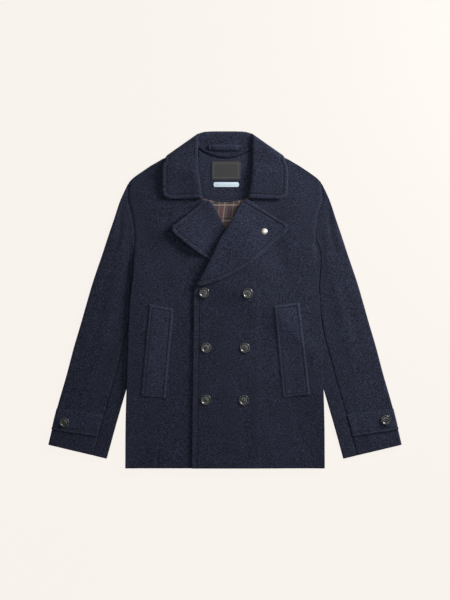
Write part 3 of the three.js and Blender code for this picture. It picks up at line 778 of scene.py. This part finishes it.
ROUND = [0.1, 0.25, 0.4, 0.5, 0.6, 0.75, 0.9]
SEAM_SHARE = SEAM / 300
for side, name in ((-1, "right"), (1, "left")):
    top_turns = [mix(FRONT_SEAM + SEAM_SHARE, 1, u) for u in steps(110, 1.2, 4.0)]
    top_turns += [1 + u for u in ROUND] + [2 + u * (ELBOW_SEAM - SEAM_SHARE) for u in steps(30, 1.5, 5.0)]
    top = sleeve_strip(f"top_sleeve_panel_{name}", side, top_turns, 5.5)
    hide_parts(f"top_sleeve_{name}")
    under_turns = [mix(2 + ELBOW_SEAM + SEAM_SHARE, 3, u) for u in steps(115, 1.5, 7.0)]
    under_turns += [3 + u for u in ROUND] + [u * (FRONT_SEAM - SEAM_SHARE) for u in steps(33, 1.2, 4.0)]
    under = sleeve_strip(f"under_sleeve_panel_{name}", side, under_turns, 7.0)
    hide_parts(f"under_sleeve_{name}")
    for panel in (top, under):
        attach(panel, "root")


# The cuff tabs. Each is a band of doubled melton sewn into the sleeve's front seam, turned round the outer
# edge, stitched 7 mm in, and held by a button.
TAB = 2.2
TAB_ROWS = {"seam_low": 0.54, "seam_high": 1.16, "edge_low": 0.43, "edge_high": 1.02}


def tab_point(side, u, v, out):
    turn = mix(FRONT_SEAM + 0.012, 1, u) if u <= 1 else u
    across = clamp((turn - FRONT_SEAM) / (1 - FRONT_SEAM))
    low = mix(TAB_ROWS["seam_low"], TAB_ROWS["edge_low"], across)
    high = mix(TAB_ROWS["seam_high"], TAB_ROWS["edge_high"], across)
    return on_sleeve(side, mix(low, high, v), turn, out)


# The welts and cuff tabs take a copy of the melton painted lighter (1.16 against the body's 0.94), standing in for
# the light these raised bands catch.
BAND_WOOL_PAINTED_LIGHTER = wool("band_melton_painted_lighter", 1.16)
for side, name in ((-1, "right"), (1, "left")):
    gap = CLOTH / 2 + 0.1
    across = steps(108, 1.2, 4.0, end=False) + [1.1, 1.2, 1.3, 1.38]
    rows = steps(50, 1.1, 3.0)
    outer = []
    for v in rows:
        d = v * 50
        relief = piped(min(d * 9 / 7, 40)) * 0.8
        outer.append([tab_point(side, u, v, gap + relief + TAB - 1.1 * ramp(u, 0.8, 1.1)) for u in across])
    inner = [[tab_point(side, u, v, gap) for u in across] for v in rows]
    to_low = distance_to([p[:2] for p in outer[0][::2]])
    tab = wall(f"cuff_band_{name}", outer, inner, BAND_WOOL_PAINTED_LIGHTER, "first last start",
               lambda x, y: to_low(x, y) * 9 / 7)
    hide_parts(f"cuff_tab_{name}")
    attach(tab, "root")


# The pocket welts. Each is a band of doubled melton over a slanting pocket mouth, its outer and lower edges
# turned and its ends stitched down 8 mm in.
WELT = 2.2
WELTS = {
    1: table("x y", (118.8, -14.7), (182, -6), (208.7, -232.8), (140.9, -241.3)),
    -1: table("x y", (-126.2, -22.5), (-185.7, -10.5), (-207, -235.9), (-146, -242.1)),
}


def welt_top(x, y, low, distance):
    """The welt is sewn flat at its edges, puffs up inside them and is grooved by its stitching."""
    return low + 0.6 + (WELT - 0.6) * ramp(distance, -1, 4.5) + piped(distance * 9 / 8)


for side, name in ((-1, "right"), (1, "left")):
    xs, ys = WELTS[side]["x"], WELTS[side]["y"]
    places = []
    for v in steps(228, 1.1, 5.0):
        line = []
        for u in steps(64, 1.1, 3.6):
            x = mix(mix(xs[0], xs[1], u), mix(xs[3], xs[2], u), v)
            y = mix(mix(ys[0], ys[1], u), mix(ys[3], ys[2], u), v)
            line.append((x, y))
        places.append(line)
    outline = [*zip(xs, ys), (xs[0], ys[0])]
    to_edge = distance_to(outline)
    front = FRONT_HIGH[side]
    rest = 0.2
    welt = layer(f"pocket_band_{name}", places, lambda x, y: front(x, y) + rest,
                 lambda x, y: welt_top(x, y, front(x, y) + rest, to_edge(x, y)), BAND_WOOL_PAINTED_LIGHTER,
                 "first end last start", lambda x, y: to_edge(x, y) * 9 / 8)
    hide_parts(f"pocket_welt_{name}")
    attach(welt, "root")


# The inside of the back neck. A smooth melton facing is sewn under the collar, and below it a brown
# checked lining shows in the opening. Both are thin and lie on the back.
def neck_lower_y(x):
    return 242 + 13 * (x / 62) ** 2


places = []
for v in steps(110, 1.5, 4.0):
    line = []
    for u in steps(129, 2.0, 4.5):
        x = mix(-64.5, 64.5, u)
        upper = mix(NECK_BACK_Y, NECK_Y, (x / NECK_X) ** 2) - 2
        line.append((x, mix(neck_lower_y(x), upper, v)))
    places.append(line)
FACING_WOOL = wool("facing_melton", 1.15)
facing = layer("neck_facing_panel", places, lambda x, y: back_high(x, y) + SEAM,
               lambda x, y: back_high(x, y) + SEAM + 1, FACING_WOOL, "first",
               lambda x, y: (y - neck_lower_y(x)) * 9 / 5)
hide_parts("neck_facing")
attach(facing, "root")


def check_lining():
    """Brown twill lining with a fine check of pale, rust and dark lines."""
    g = Graph("check_lining")
    place = g.node("ShaderNodeSeparateXYZ", {}, {0: g.place()}, "X")
    x = Socket(g, place.socket.node.outputs["X"])
    y = Socket(g, place.socket.node.outputs["Y"])

    leaning = x - (y - 0.2332) * 0.12

    def lines(value, at, repeat, width):
        """1 on lines at one place in every repeat, and 0 between them."""
        nearest = g.node("ShaderNodeMath", {"operation": "WRAP"}, {0: value - at, 1: repeat / 2, 2: -repeat / 2})
        off = g.node("ShaderNodeMath", {"operation": "ABSOLUTE"}, {0: nearest})
        return 1 - g.rise(off, width * 0.4, width * 0.75)

    thread = g.noise(900.0, 2.0)
    up, over = 0.0344, 0.0384
    cloth = g.blend((0.030, 0.019, 0.020, 1), (0.056, 0.036, 0.036, 1), thread)
    cloth = g.blend(cloth, (0.085, 0.034, 0.032, 1), lines(leaning, -0.0072, up, 0.0075) * 0.75)
    cloth = g.blend(cloth, (0.045, 0.014, 0.030, 1), lines(leaning, 0.0098, up, 0.0055) * 0.8)
    cloth = g.blend(cloth, (0.085, 0.034, 0.032, 1), lines(y, 0.2090, over, 0.0060) * 0.5)
    cloth = g.blend(cloth, (0.016, 0.016, 0.016, 1), lines(y, 0.2000, over, 0.0040) * 0.6)
    cloth = g.blend(cloth, (0.016, 0.016, 0.016, 1), lines(leaning, 0.0165, up, 0.0035) * 0.5)
    cloth = g.blend(cloth, (0.150, 0.110, 0.105, 1), lines(leaning, 0.0050, up, 0.0012) * 0.5)
    cloth = g.blend(cloth, (0.200, 0.150, 0.140, 1), lines(leaning, -0.0140, up, 0.0018) * 0.65)
    cloth = g.blend(cloth, (0.150, 0.110, 0.105, 1), lines(y, 0.2045, over, 0.0014) * 0.5)
    cloth = g.blend(cloth, (0.240, 0.185, 0.165, 1), lines(leaning, -0.0005, up, 0.0022) * 0.8)
    pale = g.blend(cloth, (0.240, 0.185, 0.165, 1), lines(y, 0.2332, over, 0.0026) * 0.8)
    return g.surface(Base_Color=pale, Roughness=0.6, Normal=g.bump(thread, 0.25, 0.0003))


CHECK = check_lining()
places = []
for v in steps(90, 1.5, 3.0):
    line = []
    for u in steps(110, 1.5, 3.0):
        x = mix(mix(-2, -58, v), mix(14, 60, v), u)
        line.append((x, mix(160, neck_lower_y(x) - 1.5, v)))
    places.append(line)
lining = layer("back_lining_panel", places, lambda x, y: back_high(x, y) + SEAM,
               lambda x, y: back_high(x, y) + SEAM + 0.9, CHECK)
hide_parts("back_lining")
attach(lining, "root")


# The hanger loop, a narrow turned strip of melton, sewn down at both ends inside the collar's stand. Below
# it are a woven charcoal label and a pale blue size tag, both left blank.
def stand_high(x, y):
    return COLLAR_CLOTH * 2 + REST + 0.2 + 2.3 * ramp(y, 350, 392) + 0.3


def patch(name, x, y, width, depth, low, thick, material, crown=0.0, bow=0.0, corner=0.4):
    """A flat band square to the coat. crown puffs it, bow lifts its middle, corner rounds its ends."""
    grid = []
    for v in steps(depth, 1.0, 2.6):
        line = []
        for u in steps(width, 0.8, 2.6):
            in_corner = max(0.0, corner - min(u, 1 - u) * width) / corner
            half = depth / 2 - corner * (1 - math.sqrt(max(0.0, 1 - in_corner ** 2)))
            line.append((x + (u - 0.5) * width, y + (2 * v - 1) * half))
        grid.append(line)

    def under(px, py):
        return low(px, py) + bow * (1 - ramp(abs(px - x), width * 0.28, width * 0.47))

    def high(px, py):
        rise = 1 - (2 * (py - y) / depth) ** 2
        tack = 1 - 0.75 * math.exp(-(((abs(px - x) - width / 2 + 5) / 1.6) ** 2))
        return under(px, py) + thick + crown * max(0.0, rise) * tack

    return layer(name, grid, under, high, material, "first end last start")


loop = patch("hanger_strip", 0.5, 373, 79, 12.5, stand_high, 1.6, FACING_WOOL, 2.2, 2.4, 1.5)
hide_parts("hanger_loop")
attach(loop, "root")


def woven(name, ground, thread, frame_colour, half_width, half_depth, centre):
    """A woven tape: fine ribs, and a plain woven border a little inside its edges."""
    g = Graph(name)
    place = g.node("ShaderNodeSeparateXYZ", {}, {0: g.place()}, "X")
    x = Socket(g, place.socket.node.outputs["X"]) - centre[0] * MM
    y = Socket(g, place.socket.node.outputs["Y"]) - centre[1] * MM
    rib = g.node("ShaderNodeMath", {"operation": "PINGPONG"}, {0: x, 1: 0.0004})
    weft = g.node("ShaderNodeMath", {"operation": "PINGPONG"}, {0: y, 1: 0.0003})
    inside_x = half_width * MM - g.node("ShaderNodeMath", {"operation": "ABSOLUTE"}, {0: x})
    inside_y = half_depth * MM - g.node("ShaderNodeMath", {"operation": "ABSOLUTE"}, {0: y})
    inside = g.node("ShaderNodeMath", {"operation": "MINIMUM"}, {0: inside_x, 1: inside_y})
    off = g.node("ShaderNodeMath", {"operation": "ABSOLUTE"}, {0: inside - 0.005})
    border = 1 - g.rise(off, 0.0004, 0.0009)
    colour = g.blend(ground, thread, rib * 900 + weft * 900)
    colour = g.blend(colour, frame_colour, border)
    height = rib * 1500 + weft * 1500 + border
    return g.surface(Base_Color=colour, Roughness=0.55, Normal=g.bump(height, 0.3, 0.0002))


def on_facing(x, y):
    return back_high(x, y) + SEAM + 1 + SEAM


CHARCOAL = woven("charcoal_tape", (0.014, 0.0135, 0.0135, 1), (0.026, 0.025, 0.025, 1),
                 (0.060, 0.059, 0.058, 1), 35, 22.5, (2.5, 317.5))
label = patch("woven_panel", 2.5, 317.5, 70, 45, on_facing, 0.7, CHARCOAL)
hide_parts("woven_label")
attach(label, "root")

PALE = woven("pale_blue_tape", (0.55, 0.68, 0.76, 1), (0.68, 0.80, 0.86, 1), (0.55, 0.68, 0.76, 1),
             31.5, 6, (3, 283))
size_tag = patch("size_tape", 3, 283, 62, 11.4, on_facing, 0.6, PALE, 0.5, 0.4, 4.0)
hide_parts("size_tag")
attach(size_tag, "root")


# The stitches. The edges of collar, lapels, front, welts and tabs are topstitched in navy thread with
# stitches a little over 4 mm long, set into the cloth. One tree lays them along every line.
def thread_material():
    g = Graph("navy_thread")
    twist = g.noise(1800.0, 1.0)
    colour = g.blend((0.010, 0.012, 0.021, 1), (0.030, 0.034, 0.055, 1), twist)
    return g.surface(Base_Color=colour, Roughness=0.6, Normal=g.bump(twist, 0.3, 0.0002))


THREAD = thread_material()


def stitch_tree():
    tree = bpy.data.node_groups.new("stitch_run", "GeometryNodeTree")
    face = tree.interface
    face.new_socket("Geometry", in_out="INPUT", socket_type="NodeSocketGeometry")
    for label_text, kind in (("Pitch", "NodeSocketFloat"), ("Length", "NodeSocketFloat"),
                             ("Thickness", "NodeSocketFloat"), ("Thread", "NodeSocketMaterial")):
        face.new_socket(label_text, in_out="INPUT", socket_type=kind)
    face.new_socket("Geometry", in_out="OUTPUT", socket_type="NodeSocketGeometry")
    nodes, links = tree.nodes, tree.links
    come, go = nodes.new("NodeGroupInput"), nodes.new("NodeGroupOutput")
    curve = nodes.new("GeometryNodeMeshToCurve")
    even = nodes.new("GeometryNodeResampleCurve")
    even.mode = "LENGTH"
    ball = nodes.new("GeometryNodeMeshUVSphere")
    ball.inputs["Segments"].default_value = 8
    ball.inputs["Rings"].default_value = 5
    ball.inputs["Radius"].default_value = 0.5
    size = nodes.new("ShaderNodeCombineXYZ")
    turn = nodes.new("FunctionNodeAlignRotationToVector")
    turn.axis = "X"
    tangent = nodes.new("GeometryNodeInputTangent")
    place = nodes.new("GeometryNodeInstanceOnPoints")
    real = nodes.new("GeometryNodeRealizeInstances")
    smooth_faces = nodes.new("GeometryNodeSetShadeSmooth")
    paint = nodes.new("GeometryNodeSetMaterial")
    for a, b in (
        (come.outputs["Geometry"], curve.inputs[0]), (curve.outputs[0], even.inputs["Curve"]),
        (come.outputs["Pitch"], even.inputs["Length"]), (even.outputs[0], place.inputs["Points"]),
        (ball.outputs[0], place.inputs["Instance"]), (tangent.outputs[0], turn.inputs["Vector"]),
        (turn.outputs[0], place.inputs["Rotation"]), (come.outputs["Length"], size.inputs[0]),
        (come.outputs["Thickness"], size.inputs[1]), (come.outputs["Thickness"], size.inputs[2]),
        (size.outputs[0], place.inputs["Scale"]), (place.outputs[0], real.inputs[0]),
        (real.outputs[0], smooth_faces.inputs[0]), (smooth_faces.outputs[0], paint.inputs["Geometry"]),
        (come.outputs["Thread"], paint.inputs["Material"]), (paint.outputs[0], go.inputs[0]),
    ):
        links.new(a, b)
    return tree


STITCHES = stitch_tree()


def stitch(name, runs, pitch=4.3, length=3.1, thickness=0.8):
    """Lays stitches along runs of points, and keeps them as one plain mesh."""
    corners, edges = [], []
    for run in runs:
        first = len(corners)
        corners += [tuple(c * MM for c in p) for p in run]
        edges += [(first + k, first + k + 1) for k in range(len(run) - 1)]
    path = bpy.data.meshes.new(name + "_path")
    path.from_pydata(corners, edges, [])
    carrier = bpy.data.objects.new(name + "_path", path)
    bpy.context.scene.collection.objects.link(carrier)
    modifier = carrier.modifiers.new("stitches", "NODES")
    modifier.node_group = STITCHES
    sockets = {s.name: s.identifier for s in STITCHES.interface.items_tree if s.in_out == "INPUT"}
    modifier[sockets["Pitch"]] = pitch * MM
    modifier[sockets["Length"]] = length * MM
    modifier[sockets["Thickness"]] = thickness * MM
    modifier[sockets["Thread"]] = THREAD
    evaluated = carrier.evaluated_get(bpy.context.evaluated_depsgraph_get())
    mesh = bpy.data.meshes.new_from_object(evaluated)
    mesh.name = name
    bpy.data.objects.remove(carrier)
    piece = bpy.data.objects.new(name, mesh)
    bpy.context.scene.collection.objects.link(piece)
    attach(piece, "root")
    return piece


def inset_run(points, distance, height, inside):
    """A line moved in from an edge, on a surface whose height is given. inside is a place within."""
    run = []
    for k, (x, y) in enumerate(points):
        ax, ay = points[max(0, k - 1)]
        bx, by = points[min(len(points) - 1, k + 1)]
        length = math.hypot(bx - ax, by - ay) or 1.0
        nx, ny = -(by - ay) / length, (bx - ax) / length
        if nx * (inside[0] - x) + ny * (inside[1] - y) < 0:
            nx, ny = -nx, -ny
        run.append((x + nx * distance, y + ny * distance))
    run = [p for p in run if min(math.dist(p, q) for q in points) > distance * 0.93]
    return [(x, y, height(x, y)) for x, y in run]


def surface_height(piece):
    """The height of a finished piece's upper face at a place, found by a ray from above."""
    def read(x, y):
        hit, point, _, _ = piece.ray_cast(Vector((x * MM, y * MM, 1)), Vector((0, 0, -1)))
        return point.z / MM + 0.1 if hit else 0.0

    return read


bpy.context.view_layer.update()
for side, name in ((-1, "right"), (1, "left")):
    lapel_height = surface_height(bpy.data.objects[f"lapel_leaf_{name}"])
    run = inset_run(LAPEL_EDGE[side], 9, lapel_height, (side * 60, 170))
    run = [p for p in run if p[2] > 1 and (side > 0 or into_crossing(p[0], p[1]) < 6)]
    stitch(f"lapel_stitches_{name}", [run])
    leaf_height = surface_height(collar)
    run = inset_run(LEAF_EDGE[side], 9, leaf_height, (side * 100, 300))
    stitch(f"collar_stitches_{name}", [[p for p in run if p[2] > 8]])
    band = bpy.data.objects[f"pocket_band_{name}"]
    xs, ys = WELTS[side]["x"], WELTS[side]["y"]
    centre = (sum(xs) / 4, sum(ys) / 4)
    corners = [(centre[0] + (x - centre[0]) * (1 - 16 / 66), centre[1] + (y - centre[1]) * (1 - 16 / 228))
               for x, y in zip(xs, ys)]
    band_height = surface_height(band)
    run = []
    for k in range(4):
        (ax, ay), (bx, by) = corners[k], corners[(k + 1) % 4]
        count = int(math.hypot(bx - ax, by - ay) / 6)
        run += [(mix(ax, bx, t / count), mix(ay, by, t / count)) for t in range(count)]
    run.append(run[0])
    stitch(f"pocket_stitches_{name}", [[(x, y, band_height(x, y)) for x, y in run]])
    tab_runs = []
    for v in (0.14, 0.86):
        shares = steps(108, 4, 4, end=False)
        tab_runs.append([tab_point(side, u, v, CLOTH / 2 + SEAM + TAB - 0.2) for u in shares])
    end = [tab_point(side, 0.07, v, CLOTH / 2 + SEAM + TAB - 0.2) for v in (0.14, 0.3, 0.5, 0.7, 0.86)]
    stitch(f"cuff_stitches_{name}", tab_runs + [end])
edge_height = surface_height(bpy.data.objects["front_panel_left"])
run = []
y = HEM_Y + 3
while y < 30:
    x = front_edge_x(y) + STITCH_BAND
    run.append((x, y, edge_height(x, y) - 0.25))
    y += 6
stitch("front_stitches", [run])


# The buttons. Eight dark mottled discs with a raised rim and a dished middle, polished, with four sewing
# holes crossed by navy thread. Six close the front in two rows and one holds each cuff tab.
def mottled():
    g = Graph("mottled_button")
    swirl = g.noise(210.0, 4.0, 0.6, distortion=1.6)
    fine = g.noise(900.0, 2.0)
    mottle = g.rise(swirl * 0.8 + fine * 0.2, 0.44, 0.66)
    colour = g.blend((0.006, 0.007, 0.007, 1), (0.105, 0.110, 0.095, 1), mottle * 0.75)
    return g.surface(Base_Color=colour, Roughness=0.27, Coat_Weight=0.45, Coat_Roughness=0.14,
                     Normal=g.bump(fine, 0.04, 0.0002))


MOTTLED = mottled()


def turned(name, profile, segments, material):
    """A closed body of revolution about +Z from an outline of radius and height, in millimetres."""
    corners = [(0, 0, profile[0][1])]
    faces = []
    for radius, z in profile[1:-1]:
        for k in range(segments):
            angle = 2 * math.pi * k / segments
            corners.append((radius * math.cos(angle), radius * math.sin(angle), z))
    corners.append((0, 0, profile[-1][1]))
    rings = len(profile) - 2
    for k in range(segments):
        n = (k + 1) % segments
        faces.append((0, 1 + n, 1 + k))
        for r in range(rings - 1):
            a, b = 1 + r * segments + k, 1 + r * segments + n
            faces.append((a, b, b + segments, a + segments))
        top = 1 + (rings - 1) * segments
        faces.append((top + k, top + n, len(corners) - 1))
    return finish_mesh(name, corners, faces, material)


def button_mesh(name, radius, height, hole, spread):
    profile = [(0, 0), (radius * 0.82, 0), (radius * 0.93, height * 0.1), (radius * 0.99, height * 0.3),
               (radius, height * 0.5), (radius * 0.985, height * 0.75), (radius * 0.94, height * 0.93),
               (radius * 0.88, height), (radius * 0.81, height * 0.98), (radius * 0.74, height * 0.86),
               (radius * 0.68, height * 0.68), (radius * 0.62, height * 0.60), (radius * 0.52, height * 0.64),
               (radius * 0.36, height * 0.72), (radius * 0.18, height * 0.76), (0, height * 0.77)]
    disc = turned(name, profile, 48, MOTTLED)
    drill_profile = [(0, -2), (hole, -2), (hole, height * 0.5), (hole * 1.1, height * 0.6),
                     (hole * 1.5, height * 0.8), (0, height * 0.8)]
    drills = []
    for sx, sy in ((1, 1), (-1, 1), (-1, -1), (1, -1)):
        drill = turned("drill", drill_profile, 16, MOTTLED)
        for vertex in drill.data.vertices:
            vertex.co.x += sx * spread * MM
            vertex.co.y += sy * spread * MM
        cut = disc.modifiers.new("hole", "BOOLEAN")
        cut.operation, cut.object, cut.solver = "DIFFERENCE", drill, "EXACT"
        drills.append(drill)
    evaluated = disc.evaluated_get(bpy.context.evaluated_depsgraph_get())
    mesh = bpy.data.meshes.new_from_object(evaluated)
    for spare in (disc, *drills):
        bpy.data.objects.remove(spare)
    return mesh


FRONT_BUTTON = button_mesh("front_button", 13, 4.2, 1.1, 2.3)
SMALL_BUTTON = button_mesh("cuff_button", 12, 4, 1.05, 2.1)


def sewn_thread(x, y, z, spread):
    """Two bars of thread between the holes, over the dished middle."""
    runs = []
    for sy in (1, -1):
        for k in range(5):
            shift = (k - 2) * 0.32
            start, stop = -spread, spread
            points = []
            for t in (0, 0.15, 0.35, 0.5, 0.65, 0.85, 1):
                lift = 1.0 * math.sin(math.pi * t)
                points.append((x + mix(start, stop, t), y + sy * spread + shift, z - 1.2 + lift * 1.6))
            runs.append(points)
    return runs


def thread_bars(name, runs, radius=0.3):
    curve = bpy.data.curves.new(name, "CURVE")
    curve.dimensions = "3D"
    curve.bevel_depth = radius * MM
    curve.bevel_resolution = 1
    curve.use_fill_caps = True
    for run in runs:
        spline = curve.splines.new("POLY")
        spline.points.add(len(run) - 1)
        for point, (x, y, z) in zip(spline.points, run):
            point.co = (x * MM, y * MM, z * MM, 1)
    carrier = bpy.data.objects.new(name, curve)
    bpy.context.scene.collection.objects.link(carrier)
    evaluated = carrier.evaluated_get(bpy.context.evaluated_depsgraph_get())
    mesh = bpy.data.meshes.new_from_object(evaluated)
    bpy.data.objects.remove(carrier)
    mesh.materials.clear()
    mesh.materials.append(THREAD)
    piece = bpy.data.objects.new(name, mesh)
    bpy.context.scene.collection.objects.link(piece)
    return piece


def place_button(node, mesh, spread, height):
    low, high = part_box(node)
    x, y, z = (low[0] + high[0]) / 2, (low[1] + high[1]) / 2, low[2]
    own = mesh.copy()
    turn = 0.6 * math.sin(x * 40 + y * 17)
    for vertex in own.vertices:
        vx, vy = vertex.co.x, vertex.co.y
        vertex.co.x = x + vx * math.cos(turn) - vy * math.sin(turn)
        vertex.co.y = y + vx * math.sin(turn) + vy * math.cos(turn)
        vertex.co.z += z
    own.name = node + "_disc"
    disc = bpy.data.objects.new(node + "_disc", own)
    bpy.context.scene.collection.objects.link(disc)
    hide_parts(node)
    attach(disc, "root")
    runs = sewn_thread(0, 0, z / MM + height * 0.62 + 0.75, spread)
    turned_runs = []
    for run in runs:
        turned_runs.append([(x / MM + px * math.cos(turn) - py * math.sin(turn),
                             y / MM + px * math.sin(turn) + py * math.cos(turn), pz) for px, py, pz in run])
    bars = thread_bars(node + "_thread", turned_runs)
    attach(bars, "root")


for k in range(1, 7):
    place_button(f"button_{k}", FRONT_BUTTON, 2.3, 4.2)
for name in ("left", "right"):
    place_button(f"cuff_button_{name}", SMALL_BUTTON, 2.1, 4)


# The lapel stud. A small plain domed head of pale polished brass on the left lapel, with a stepped rim.
def brass():
    g = Graph("pale_brass")
    # In the brass this noise is only the metal's brushed grain.
    grain_and_painted_highlight = g.noise(700.0, 2.0)
    colour = g.blend((0.80, 0.74, 0.60, 1), (0.93, 0.90, 0.80, 1), grain_and_painted_highlight)
    return g.surface(Base_Color=colour, Metallic=0.75, Roughness=0.38 + grain_and_painted_highlight * 0.1)


low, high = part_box("lapel_stud")
stud = turned("stud_head", [(0, 0), (6.9, 0), (7.4, 0.4), (7.6, 1.1), (7.4, 1.9), (6.9, 2.3), (6.4, 2.35),
                            (6.2, 3.0), (5.7, 3.9), (4.6, 4.6), (2.6, 5.05), (0, 5.2)], 40, brass())
for vertex in stud.data.vertices:
    vertex.co += Vector(((low[0] + high[0]) / 2, (low[1] + high[1]) / 2, low[2]))
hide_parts("lapel_stud")
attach(stud, "root")


# The studio. A plain cream floor that glows a little, as on a lit table, a soft key light from the wearer's
# left shoulder, a broad soft light overhead, and a camera straight above, as in the photograph.
g = Graph("cream_floor")
floor_material = g.surface(Base_Color=(0.04, 0.038, 0.036, 1), Roughness=1.0, Specular_IOR_Level=0.0,
                           Emission_Color=(0.95, 0.90, 0.855, 1), Emission_Strength=0.962)
floor_mesh = bpy.data.meshes.new("floor")
reach = 60.0
floor_mesh.from_pydata([(-reach, -reach, 0), (reach, -reach, 0), (reach, reach, 0), (-reach, reach, 0)], [],
                       [(0, 1, 2, 3)])
floor_mesh.materials.append(floor_material)
floor = bpy.data.objects.new("floor", floor_mesh)
floor.location.z = -0.0002
bpy.context.scene.collection.objects.link(floor)


def area_light(name, place, size, power, colour):
    light = bpy.data.lights.new(name, "AREA")
    light.shape, light.size, light.energy, light.color = "DISK", size, power, colour
    lamp = bpy.data.objects.new(name, light)
    lamp.location = place
    lamp.rotation_euler = (-Vector(place)).to_track_quat("-Z", "Y").to_euler()
    bpy.context.scene.collection.objects.link(lamp)


area_light("key", (1.28, 0.88, 0.64), 0.6, 39, (1.0, 0.99, 0.98))
area_light("overhead", (0.5, 0.4, 3.0), 2.2, 24, (1.0, 0.99, 1.0))
world = bpy.data.worlds.new("studio")
world.use_nodes = True
world.node_tree.nodes["Background"].inputs["Color"].default_value = (0.96, 0.97, 1.0, 1)
world.node_tree.nodes["Background"].inputs["Strength"].default_value = 0.22
bpy.context.scene.world = world

FRAME_HEIGHT = 1.470
camera_data = bpy.data.cameras.new("camera")
camera_data.lens = 90
camera_data.sensor_width = 36
camera = bpy.data.objects.new("camera", camera_data)
camera.location = (0, 0, FRAME_HEIGHT * camera_data.lens / camera_data.sensor_width + 0.012)
bpy.context.scene.collection.objects.link(camera)
bpy.context.scene.camera = camera
bpy.context.scene.view_settings.view_transform = "Standard"
